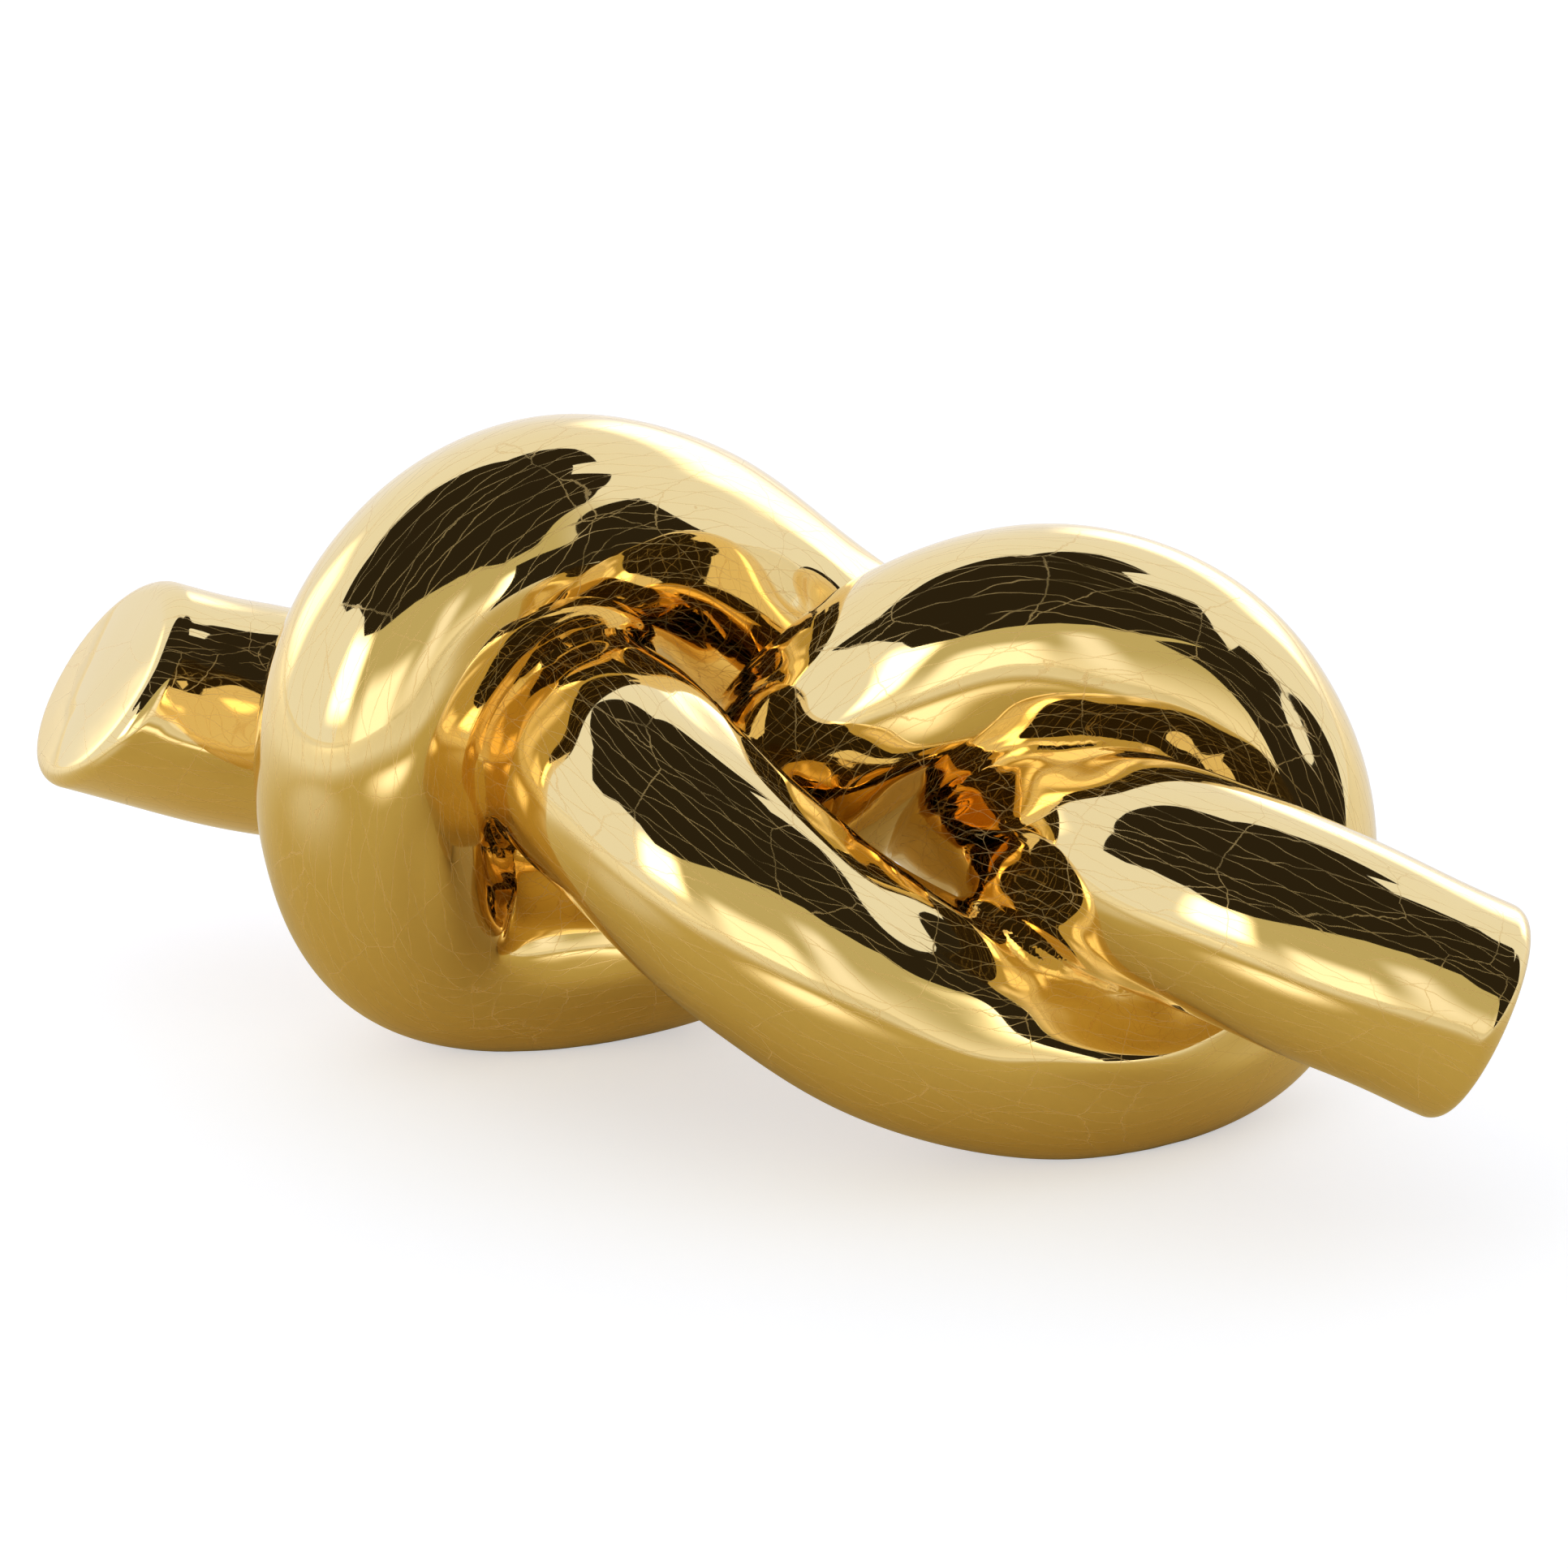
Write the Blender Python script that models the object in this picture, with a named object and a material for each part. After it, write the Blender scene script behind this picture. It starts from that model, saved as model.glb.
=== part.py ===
"""A glazed ceramic knot: one thick rope tied in a figure-eight knot and stood on two ground feet.

The rope is slip cast in five hollow lengths. Each length ends where the rope dives under a crossing
strand, and is luted to the next with a thin ring of slip. A crowned disc of clay closes each mouth,
luted on in the same way. Where strands cross, both are pressed flat along the plane midway between
them. Each foot is ground flat, and felt pads sit in shallow recesses in it. A vent hole in one foot
lets the air out of the hollow when the piece is fired.

Sizes are in millimetres and the mesh is scaled to metres at the end. +X runs along the knot, +Z is up,
and the origin is on the surface that the knot stands on, under the middle of its outline.
"""

import math

import bmesh
import bpy
import numpy as np

# The rope
ROPE_DIAMETER = 60.0
WALL = 6.0

# Where the rope runs, in rope diameters. The knot is tied tight, so each turn is a multiple of the
# rope's own thickness: a thicker rope ties a larger knot. The fourth value is how full the rope is
# there, as a share of its diameter.
ROUTE = (
    (-3.25, -0.47, 1.39, 1.00),  # left tip
    (-2.50, -0.02, 1.12, 1.01),
    (-1.82, 0.07, 1.17, 1.01),  # behind the left bight
    (-1.27, -0.15, 1.38, 1.03),
    (-0.77, -0.58, 1.52, 1.05),  # left knee, turning to the front
    (-0.14, -0.95, 1.34, 1.05),
    (0.59, -0.83, 0.83, 1.04),  # front strand, over the middle one
    (1.29, -0.27, 0.48, 1.02),  # right foot
    (1.74, 0.36, 0.57, 1.00),
    (1.74, 0.65, 1.20, 1.00),  # right bight, rising behind the right end
    (1.50, 0.60, 1.73, 1.00),
    (0.90, 0.28, 2.06, 1.00),  # top of the right bight
    (0.33, 0.07, 1.82, 1.00),
    (-0.15, 0.07, 1.25, 1.00),  # middle strand, under the front one
    (-0.62, 0.05, 0.62, 1.00),
    (-1.03, -0.14, 0.48, 1.00),  # left foot
    (-1.57, -0.56, 0.57, 1.00),
    (-1.69, -0.88, 1.07, 1.00),  # left bight, rising over the left end
    (-1.67, -0.93, 1.80, 1.00),
    (-1.43, -0.53, 2.30, 1.00),  # top of the left bight
    (-0.98, 0.30, 2.16, 1.00),
    (-0.48, 0.87, 1.50, 1.00),  # behind the right bight
    (0.12, 0.87, 1.18, 1.00),
    (0.60, 0.47, 1.16, 1.00),
    (1.11, 0.00, 1.24, 1.00),  # right knee, turning to the front
    (1.80, -0.39, 1.38, 1.01),
    (2.67, -0.48, 1.23, 0.99),
    (3.18, -0.29, 0.98, 0.98),  # right tip
)

# Where the lengths are luted together: the route points, counted from 0, that lie under a crossing
LEFT_END_JOINT = 2
FRONT_JOINT = 9
MIDDLE_JOINT = 13
BACK_JOINT = 21

# Where strands meet
STRAND_GAP = 0.5
SLIP_THICKNESS = 1.5
JOINT_GAP = 0.3

# The closed ends
END_RIM_STRAIGHT = 2.0
END_ROUNDING = 5.0
END_CROWN = 1.2
LEFT_CUT_LEAN = math.radians(16)
LEFT_CUT_REACH = 40.0

# The feet
FOOT_DEPTH = 6.0
PAD_DIAMETER = 14.0
PAD_THICKNESS = 1.5
PAD_PROUD = 0.8
PAD_SPREAD = 36.0
PAD_CLEARANCE = 0.3
VENT_DIAMETER = 5.0

# How finely the surfaces are divided
ROPE_SIDES = 28
RING_STEP = 9.0
BORE_RING_STEP = 18.0
ROUNDING_STEPS = 4
DISC_RINGS = 3
PAD_SIDES = 32
ROUTE_SAMPLES = 480

METRE = 1000.0
END_SEAT = SLIP_THICKNESS + 2 * JOINT_GAP
END_REACH = END_SEAT + END_RIM_STRAIGHT + END_ROUNDING + END_CROWN
NEIGHBOUR_REACH = 1.5 * ROPE_DIAMETER
FOOT_PLANE = PAD_PROUD
CUTTER_MARGIN = 5.0

PARTS_COLLECTION = "ceramic_knot"
CUTTERS_COLLECTION = "cutters"


def natural_spline(points, knots, at):
    """The natural cubic spline through points at knots, and its slope, worked out at the places asked for."""
    steps = np.diff(knots)
    count = len(points)
    matrix = np.eye(count)
    right = np.zeros_like(points)
    for i in range(1, count - 1):
        matrix[i, i - 1 : i + 2] = steps[i - 1], 2 * (steps[i - 1] + steps[i]), steps[i]
        slope_change = (points[i + 1] - points[i]) / steps[i] - (points[i] - points[i - 1]) / steps[i - 1]
        right[i] = 6 * slope_change
    bends = np.linalg.solve(matrix, right)
    span = np.clip(np.searchsorted(knots, at, side="right") - 1, 0, count - 2)
    width = steps[span][:, None]
    after = (at - knots[span])[:, None] / width
    before = 1 - after
    value = before * points[span] + after * points[span + 1]
    value += ((before**3 - before) * bends[span] + (after**3 - after) * bends[span + 1]) * width**2 / 6
    slope = (points[span + 1] - points[span]) / width
    slope += ((3 * after**2 - 1) * bends[span + 1] - (3 * before**2 - 1) * bends[span]) * width / 6
    return value, slope


def unit(vectors):
    return vectors / np.linalg.norm(vectors, axis=-1, keepdims=True)


class Rope:
    """The rope's middle line, its thickness, and a frame carried along it without twist."""

    def __init__(self):
        self.points = np.array(ROUTE, float) * ROPE_DIAMETER
        chords = np.linalg.norm(np.diff(self.points[:, :3], axis=0), axis=1)
        self.knots = np.concatenate([[0.0], np.cumsum(chords)])
        self.length = self.knots[-1]
        self.samples = np.linspace(0, self.length, ROUTE_SAMPLES)
        self.points[:, :3] += self.shift_to_origin()
        self.sides = self.carried_sides()

    def shift_to_origin(self):
        """Centres the round rope's outline over the origin, and sinks it by FOOT_DEPTH into the foot plane."""
        middle, radius, tangent = self.at(self.samples)
        reach = radius[:, None] * np.sqrt(np.clip(1 - tangent**2, 0, 1))
        low = (middle - reach).min(axis=0)
        high = (middle + reach).max(axis=0)
        return np.array([-(low[0] + high[0]) / 2, -(low[1] + high[1]) / 2, FOOT_PLANE - FOOT_DEPTH - low[2]])

    def at(self, along):
        """The middle, radius and unit tangent of the rope at the distances given."""
        value, slope = natural_spline(self.points, self.knots, np.asarray(along, float))
        return value[:, :3], value[:, 3] / 2, unit(slope[:, :3])

    def carried_sides(self):
        """A side vector at each sample, turned only as far as the rope bends."""
        tangents = self.at(self.samples)[2]
        sides = np.empty_like(tangents)
        side = np.cross(tangents[0], (0.0, 0.0, 1.0))
        for i, tangent in enumerate(tangents):
            side = unit(side - np.dot(side, tangent) * tangent)
            sides[i] = side
        return sides

    def frame(self, along):
        """The middle, radius, tangent, side and up vectors at the distances given."""
        middle, radius, tangent = self.at(along)
        side = np.stack([np.interp(along, self.samples, self.sides[:, axis]) for axis in range(3)], axis=1)
        side = unit(side - np.sum(side * tangent, axis=1, keepdims=True) * tangent)
        return middle, radius, tangent, side, np.cross(side, tangent)

    def rings(self, along, inset=0.0):
        """Rings of points round the rope, inset from its surface, pressed flat where another strand meets it."""
        middle, radius, tangent, side, up = self.frame(along)
        angles = np.linspace(0, 2 * math.pi, ROPE_SIDES, endpoint=False)
        outward = np.cos(angles)[None, :, None] * side[:, None] + np.sin(angles)[None, :, None] * up[:, None]
        spokes = (radius - inset)[:, None, None] * outward
        spokes *= self.pressed_share(along, middle, radius, spokes, inset)[:, :, None]
        return middle[:, None] + spokes + self.left_cut_shear(along, tangent, spokes)

    def pressed_share(self, along, middle, radius, spokes, inset):
        """How much of each spoke is left once the strands it meets have pressed it back.

        Between two strands lies the plane from which tangents to both are equally long. Each strand keeps
        to its own side of it, half the gap away.
        """
        other, other_radius, _ = self.at(self.samples)
        toward = other[None] - middle[:, None]
        distance = np.linalg.norm(toward, axis=2)
        toward /= np.maximum(distance, 1e-9)[:, :, None]
        limit = distance / 2 + (radius[:, None] ** 2 - other_radius[None] ** 2) / (2 * np.maximum(distance, 1e-9))
        limit -= STRAND_GAP / 2 + inset
        same_strand = np.abs(np.asarray(along)[:, None] - self.samples[None]) < NEIGHBOUR_REACH
        limit[same_strand] = np.inf
        reach = np.einsum("rsk,rok->rso", spokes, toward)
        share = np.where(reach > limit[:, None], limit[:, None] / np.maximum(reach, 1e-9), 1.0).min(axis=2)
        if inset:
            to_floor = middle[:, 2] - FOOT_PLANE - inset
            drop = -spokes[:, :, 2]
            share = np.minimum(share, np.where(drop > to_floor[:, None], to_floor[:, None] / np.maximum(drop, 1e-9), 1.0))
        return share

    def left_cut_shear(self, along, tangent, spokes):
        """Slides the rings near the left tip along the rope, so that the last one lies in the cut.

        The cut leans back at its top, and the shear fades out over LEFT_CUT_REACH.
        """
        weight = np.clip(1 - (np.asarray(along) - END_REACH) / LEFT_CUT_REACH, 0, 1)
        top = unit(np.array([0.0, 0.0, 1.0]) - tangent[0, 2] * tangent[0])
        lean = spokes @ top * math.tan(LEFT_CUT_LEAN)
        return (weight[:, None] * lean)[:, :, None] * tangent[:, None]


def steps_between(start, end, step):
    return np.linspace(start, end, max(2, round((end - start) / step) + 1))


def ring_faces(rings, sides, first=0, inward=False):
    """The quads between rings of points stored one after another."""
    ring = np.arange(rings - 1)[:, None] * sides + first
    turn = np.arange(sides)[None]
    after = (turn + 1) % sides
    faces = np.stack([ring + turn, ring + after, ring + sides + after, ring + sides + turn], axis=-1)
    faces = faces.reshape(-1, 4)
    return faces[:, ::-1] if inward else faces


def annulus_faces(outer, inner, sides, flip):
    """The quads that join one outer ring to one inner ring across the wall."""
    turn = np.arange(sides)
    after = (turn + 1) % sides
    faces = np.stack([outer + turn, inner + turn, inner + after, outer + after], axis=-1)
    return faces[:, ::-1] if flip else faces


def new_object(name, points, faces, material, collection):
    """A mesh object from points in millimetres, its faces turned outwards and shaded smooth."""
    mesh = bpy.data.meshes.new(name)
    mesh.from_pydata((np.asarray(points) / METRE).tolist(), [], [list(map(int, face)) for face in faces])
    work = bmesh.new()
    work.from_mesh(mesh)
    bmesh.ops.recalc_face_normals(work, faces=work.faces)
    work.to_mesh(mesh)
    work.free()
    mesh.shade_smooth()
    mesh.set_sharp_from_angle(angle=math.radians(40))
    mesh.materials.append(material)
    result = bpy.data.objects.new(name, mesh)
    collection.objects.link(result)
    return result


def hollow_length(name, rope, start, end, material, collection):
    """A hollow length of rope between two distances along it, open at both ends."""
    outer = rope.rings(steps_between(start, end, RING_STEP))
    inner = rope.rings(steps_between(start, end, BORE_RING_STEP), inset=WALL)
    first_inner = len(outer) * ROPE_SIDES
    last_outer = first_inner - ROPE_SIDES
    last_inner = first_inner + (len(inner) - 1) * ROPE_SIDES
    points = np.concatenate([outer.reshape(-1, 3), inner.reshape(-1, 3)])
    faces = np.concatenate(
        [
            ring_faces(len(outer), ROPE_SIDES),
            ring_faces(len(inner), ROPE_SIDES, first_inner, inward=True),
            annulus_faces(0, first_inner, ROPE_SIDES, flip=False),
            annulus_faces(last_outer, last_inner, ROPE_SIDES, flip=True),
        ]
    )
    return new_object(name, points, faces, material, collection)


def end_disc(name, rope, tip, outward, material, collection):
    """A disc that closes one mouth: straight sides, a rounded rim and a slightly crowned face.

    Each ring is the rope's own section at the tip, drawn in by the rounding and raised along the rope.
    """
    middle, radius, tangent, _, _ = rope.frame(np.array([tip]))
    section = rope.rings(np.array([tip]))[0] - middle[0]
    quarter = np.linspace(0, math.pi / 2, ROUNDING_STEPS + 1)
    rim_in = END_ROUNDING * (1 - np.cos(quarter))
    rim_up = END_RIM_STRAIGHT + END_ROUNDING * np.sin(quarter)
    face = np.linspace(1, 0, DISC_RINGS + 1)[1:-1]
    flat = 1 - END_ROUNDING / radius[0]
    shares = np.concatenate([[1.0], 1 - rim_in / radius[0], flat * face])
    rises = np.concatenate([[0.0], rim_up, rim_up[-1] + END_CROWN * (1 - face**2)])
    rings = middle[0] + section[None] * shares[:, None, None]
    rings = rings + outward * tangent[0] * (END_SEAT + rises)[:, None, None]
    crown = middle[0] + outward * tangent[0] * END_REACH
    points = np.concatenate([rings.reshape(-1, 3), crown[None]])
    faces = [list(face) for face in ring_faces(len(rings), ROPE_SIDES)]
    last = (len(rings) - 1) * ROPE_SIDES
    faces += [[last + i, last + (i + 1) % ROPE_SIDES, len(points) - 1] for i in range(ROPE_SIDES)]
    faces.append(list(range(ROPE_SIDES)))
    return new_object(name, points, faces, material, collection)


def end_slip_ring(name, rope, tip, outward, material, collection):
    """The ring of slip between a mouth and its disc, with the section of the wall there."""
    tangent = rope.at(np.array([tip]))[2][0]
    outer = rope.rings(np.array([tip]))[0]
    inner = rope.rings(np.array([tip]), inset=WALL)[0]
    near = outward * tangent * JOINT_GAP
    far = outward * tangent * (JOINT_GAP + SLIP_THICKNESS)
    points = np.concatenate([outer + near, outer + far, inner + near, inner + far])
    faces = np.concatenate(
        [
            ring_faces(2, ROPE_SIDES),
            ring_faces(2, ROPE_SIDES, 2 * ROPE_SIDES, inward=True),
            annulus_faces(0, 2 * ROPE_SIDES, ROPE_SIDES, flip=False),
            annulus_faces(ROPE_SIDES, 3 * ROPE_SIDES, ROPE_SIDES, flip=True),
        ]
    )
    return new_object(name, points, faces, material, collection)


def cylinder(name, diameter, low, high, centre, material, collection):
    """An upright cylinder between two heights."""
    work = bmesh.new()
    bmesh.ops.create_cone(
        work,
        cap_ends=True,
        segments=PAD_SIDES,
        radius1=diameter / 2 / METRE,
        radius2=diameter / 2 / METRE,
        depth=(high - low) / METRE,
    )
    mesh = bpy.data.meshes.new(name)
    work.to_mesh(mesh)
    work.free()
    mesh.shade_smooth()
    mesh.set_sharp_from_angle(angle=math.radians(40))
    if material:
        mesh.materials.append(material)
    result = bpy.data.objects.new(name, mesh)
    result.location = (centre[0] / METRE, centre[1] / METRE, (low + high) / 2 / METRE)
    collection.objects.link(result)
    return result


def foot_slab(rope, collection):
    """A block under the foot plane, wide enough to cut both feet flat."""
    middle, radius, _ = rope.at(rope.samples)
    low = (middle - radius[:, None]).min(axis=0) - CUTTER_MARGIN
    high = (middle + radius[:, None]).max(axis=0) + CUTTER_MARGIN
    high[2] = FOOT_PLANE
    low[2] = FOOT_PLANE - FOOT_DEPTH - 2 * CUTTER_MARGIN
    work = bmesh.new()
    bmesh.ops.create_cube(work, size=1.0)
    mesh = bpy.data.meshes.new("foot_slab")
    bmesh.ops.scale(work, vec=(high - low) / METRE, verts=work.verts)
    work.to_mesh(mesh)
    work.free()
    slab = bpy.data.objects.new("foot_slab", mesh)
    slab.location = (high + low) / 2 / METRE
    collection.objects.link(slab)
    return slab


def hide_cutter(cutter):
    cutter.hide_render = True
    cutter.display_type = "WIRE"


def cut(piece, cutter):
    """Cuts one solid from another with a Boolean that stays on the piece."""
    hide_cutter(cutter)
    modifier = piece.modifiers.new("cut_" + cutter.name, "BOOLEAN")
    modifier.operation = "DIFFERENCE"
    modifier.solver = "EXACT"
    modifier.object = cutter


def lowest_between(rope, start, end):
    """The distance along the rope, between two others, at which its underside is lowest."""
    along = rope.samples[(rope.samples > start) & (rope.samples < end)]
    middle, radius, _ = rope.at(along)
    return along[np.argmin(middle[:, 2] - radius)]


def felt_pads(side, rope, foot_at, casting, felt, parts, cutters):
    """Two felt pads along a foot, each in a recess that keeps PAD_CLEARANCE round it and above it."""
    centres = rope.at(np.array([foot_at - PAD_SPREAD / 2, foot_at + PAD_SPREAD / 2]))[0]
    left_to_right = centres[np.argsort(centres[:, 0])]
    for place, centre in zip(("left", "right"), left_to_right):
        pad_name = f"{side}_foot_{place}_felt_pad"
        recess_top = PAD_THICKNESS + PAD_CLEARANCE
        recess_diameter = PAD_DIAMETER + 2 * PAD_CLEARANCE
        recess = cylinder(pad_name + "_recess", recess_diameter, -CUTTER_MARGIN, recess_top, centre, None, cutters)
        cut(casting, recess)
        cylinder(pad_name, PAD_DIAMETER, 0.0, PAD_THICKNESS, centre, felt, parts)


def ceramic_material(name, colour, roughness, metallic):
    """A Principled material with one colour, roughness and metallic value."""
    material = bpy.data.materials.new(name)
    material.use_nodes = True
    shader = material.node_tree.nodes["Principled BSDF"]
    shader.inputs["Base Color"].default_value = (*colour, 1.0)
    shader.inputs["Roughness"].default_value = roughness
    shader.inputs["Metallic"].default_value = metallic
    return material


def new_collection(name):
    collection = bpy.data.collections.new(name)
    bpy.context.scene.collection.children.link(collection)
    return collection


def clear_scene():
    for item in list(bpy.data.objects):
        bpy.data.objects.remove(item)


def build():
    clear_scene()
    parts = new_collection(PARTS_COLLECTION)
    cutters = new_collection(CUTTERS_COLLECTION)
    cutters.hide_render = True
    gold = ceramic_material("gold_lustre_glaze", (0.72, 0.47, 0.13), 0.06, 1.0)
    slip = ceramic_material("fired_slip", (0.62, 0.40, 0.14), 0.35, 0.6)
    felt = ceramic_material("brown_felt", (0.05, 0.035, 0.025), 0.95, 0.0)

    rope = Rope()
    joints = {
        "left_end_slip_joint": rope.knots[LEFT_END_JOINT],
        "front_slip_joint": rope.knots[FRONT_JOINT],
        "middle_slip_joint": rope.knots[MIDDLE_JOINT],
        "back_slip_joint": rope.knots[BACK_JOINT],
    }
    half_joint = SLIP_THICKNESS / 2 + JOINT_GAP
    names = ("left_end_tube", "front_strand", "right_bight", "left_bight", "right_end_tube")
    left_mouth = END_REACH
    right_mouth = rope.length - END_REACH
    stops = [left_mouth, *joints.values(), right_mouth]
    castings = {}
    for i, name in enumerate(names):
        start = stops[i] + (half_joint if i else 0.0)
        end = stops[i + 1] - (half_joint if i + 1 < len(names) else 0.0)
        castings[name] = hollow_length(name, rope, start, end, gold, parts)
    for name, place in joints.items():
        hollow_length(name, rope, place - SLIP_THICKNESS / 2, place + SLIP_THICKNESS / 2, slip, parts)

    end_slip_ring("left_disc_slip_joint", rope, left_mouth, -1.0, slip, parts)
    end_slip_ring("right_disc_slip_joint", rope, right_mouth, 1.0, slip, parts)
    end_disc("left_end_disc", rope, left_mouth, -1.0, gold, parts)
    end_disc("right_end_disc", rope, right_mouth, 1.0, gold, parts)

    slab = foot_slab(rope, cutters)
    cut(castings["front_strand"], slab)
    cut(castings["left_bight"], slab)
    right_foot = lowest_between(rope, stops[1], stops[2])
    left_foot = lowest_between(rope, stops[3], stops[4])
    felt_pads("right", rope, right_foot, castings["front_strand"], felt, parts, cutters)
    felt_pads("left", rope, left_foot, castings["left_bight"], felt, parts, cutters)
    vent_centre = rope.at(np.array([left_foot]))[0][0]
    vent_top = FOOT_PLANE + WALL + CUTTER_MARGIN
    vent = cylinder("vent_drill", VENT_DIAMETER, -CUTTER_MARGIN, vent_top, vent_centre, None, cutters)
    cut(castings["left_bight"], vent)


build()
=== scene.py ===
"""A ceramic knot in mirror-gold lustre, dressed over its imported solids.

One thick hollow rope of ceramic is tied in a figure-eight knot. It was cast in five lengths, luted together
under the crossings, glazed all over and fired with a gold lustre, so that no joint shows. Each casting is
rebuilt here as one smooth skin: the glaze and the softened clay fill the valleys where strands press on
each other, the surface keeps the slow ripple of hand-finished clay, and the gold is crazed with hairlines.

Shapes are worked out in millimetres and go into the meshes in metres. +X runs along the knot, +Z is up.
"""

import enum
import logging
import math
from dataclasses import dataclass, field

import bpy
import numpy as np
from mathutils import Matrix, Vector


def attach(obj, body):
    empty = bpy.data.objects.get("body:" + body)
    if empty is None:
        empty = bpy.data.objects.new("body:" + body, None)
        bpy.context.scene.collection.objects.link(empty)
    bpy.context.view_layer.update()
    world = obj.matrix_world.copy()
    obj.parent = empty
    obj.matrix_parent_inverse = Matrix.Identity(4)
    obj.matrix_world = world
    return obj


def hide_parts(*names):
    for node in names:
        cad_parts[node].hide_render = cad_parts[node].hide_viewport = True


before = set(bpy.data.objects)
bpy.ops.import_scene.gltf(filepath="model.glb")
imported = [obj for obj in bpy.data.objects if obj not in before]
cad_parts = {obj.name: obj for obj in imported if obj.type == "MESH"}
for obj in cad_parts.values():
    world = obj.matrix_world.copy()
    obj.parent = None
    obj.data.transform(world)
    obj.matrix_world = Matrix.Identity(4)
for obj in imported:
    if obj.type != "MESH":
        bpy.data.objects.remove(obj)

Array = np.ndarray

MM = 0.001
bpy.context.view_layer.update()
LOG = logging.getLogger("ceramic_knot")

# A hairline fades from whole to nothing between these shares of its width, either side of its middle.
HAIRLINE_FADE = (0.25, 0.75)

# The rope's middle line in rope diameters, the same points that the solids are lofted along. The fourth
# value is how full the rope is there, as a share of its diameter.
ROUTE: tuple[tuple[float, float, float, float], ...] = (
    (-3.25, -0.47, 1.39, 1.00),  # left tip
    (-2.50, -0.02, 1.12, 1.01),
    (-1.82, 0.07, 1.17, 1.01),  # behind the left bight
    (-1.27, -0.15, 1.38, 1.03),
    (-0.77, -0.58, 1.52, 1.05),  # left knee, turning to the front
    (-0.14, -0.95, 1.34, 1.05),
    (0.59, -0.83, 0.83, 1.04),  # front strand, over the middle one
    (1.29, -0.27, 0.48, 1.02),  # right foot
    (1.74, 0.36, 0.57, 1.00),
    (1.74, 0.65, 1.20, 1.00),  # right bight, rising behind the right end
    (1.50, 0.60, 1.73, 1.00),
    (0.90, 0.28, 2.06, 1.00),  # top of the right bight
    (0.33, 0.07, 1.82, 1.00),
    (-0.15, 0.07, 1.25, 1.00),  # middle strand, under the front one
    (-0.62, 0.05, 0.62, 1.00),
    (-1.03, -0.14, 0.48, 1.00),  # left foot
    (-1.57, -0.56, 0.57, 1.00),
    (-1.69, -0.88, 1.07, 1.00),  # left bight, rising over the left end
    (-1.67, -0.93, 1.80, 1.00),
    (-1.43, -0.53, 2.30, 1.00),  # top of the left bight
    (-0.98, 0.30, 2.16, 1.00),
    (-0.48, 0.87, 1.50, 1.00),  # behind the right bight
    (0.12, 0.87, 1.18, 1.00),
    (0.60, 0.47, 1.16, 1.00),
    (1.11, 0.00, 1.24, 1.00),  # right knee, turning to the front
    (1.80, -0.39, 1.38, 1.01),
    (2.67, -0.48, 1.23, 0.99),
    (3.18, -0.29, 0.98, 0.98),  # right tip
)


def unit(vectors: Array) -> Array:
    """Scales vectors to length one along the last axis."""
    return vectors / np.linalg.norm(vectors, axis=-1, keepdims=True)


def smoothstep(share: Array) -> Array:
    """Eases 0..1 in and out: 3s² - 2s³."""
    share = np.clip(share, 0, 1)
    return share * share * (3 - 2 * share)


def linear(colour: str, alpha: float = 1.0) -> tuple[float, float, float, float]:
    """Turns an sRGB hex colour into the linear values that a shader socket takes.

    Args:
        colour: Six hex digits after a hash sign.
        alpha: The fourth value of the result.

    Returns:
        Red, green, blue and alpha.
    """
    shares = [int(colour[i : i + 2], 16) / 255 for i in (1, 3, 5)]
    red, green, blue = [s / 12.92 if s <= 0.04045 else ((s + 0.055) / 1.055) ** 2.4 for s in shares]
    return red, green, blue, alpha


def add_node(
    tree: bpy.types.NodeTree, kind: str, inputs: dict | None = None, **settings: object
) -> bpy.types.Node:
    """Adds one node with its settings, values and links.

    Args:
        tree: The node tree to add to.
        kind: The node's type name.
        inputs: Socket name or number to its value, or to the output socket that feeds it.
        **settings: The node's own properties.

    Returns:
        The new node.
    """
    node = tree.nodes.new(kind)
    for name, value in settings.items():
        setattr(node, name, value)
    for socket, value in (inputs or {}).items():
        if isinstance(value, bpy.types.NodeSocket):
            tree.links.new(value, node.inputs[socket])
        else:
            node.inputs[socket].default_value = value
    return node


def new_tree(name: str) -> tuple[bpy.types.Material, bpy.types.NodeTree]:
    """Makes a material with an empty node tree.

    Args:
        name: The material's name.

    Returns:
        The material and its tree.
    """
    material = bpy.data.materials.new(name)
    material.use_nodes = True
    material.node_tree.nodes.clear()
    return material, material.node_tree


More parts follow.
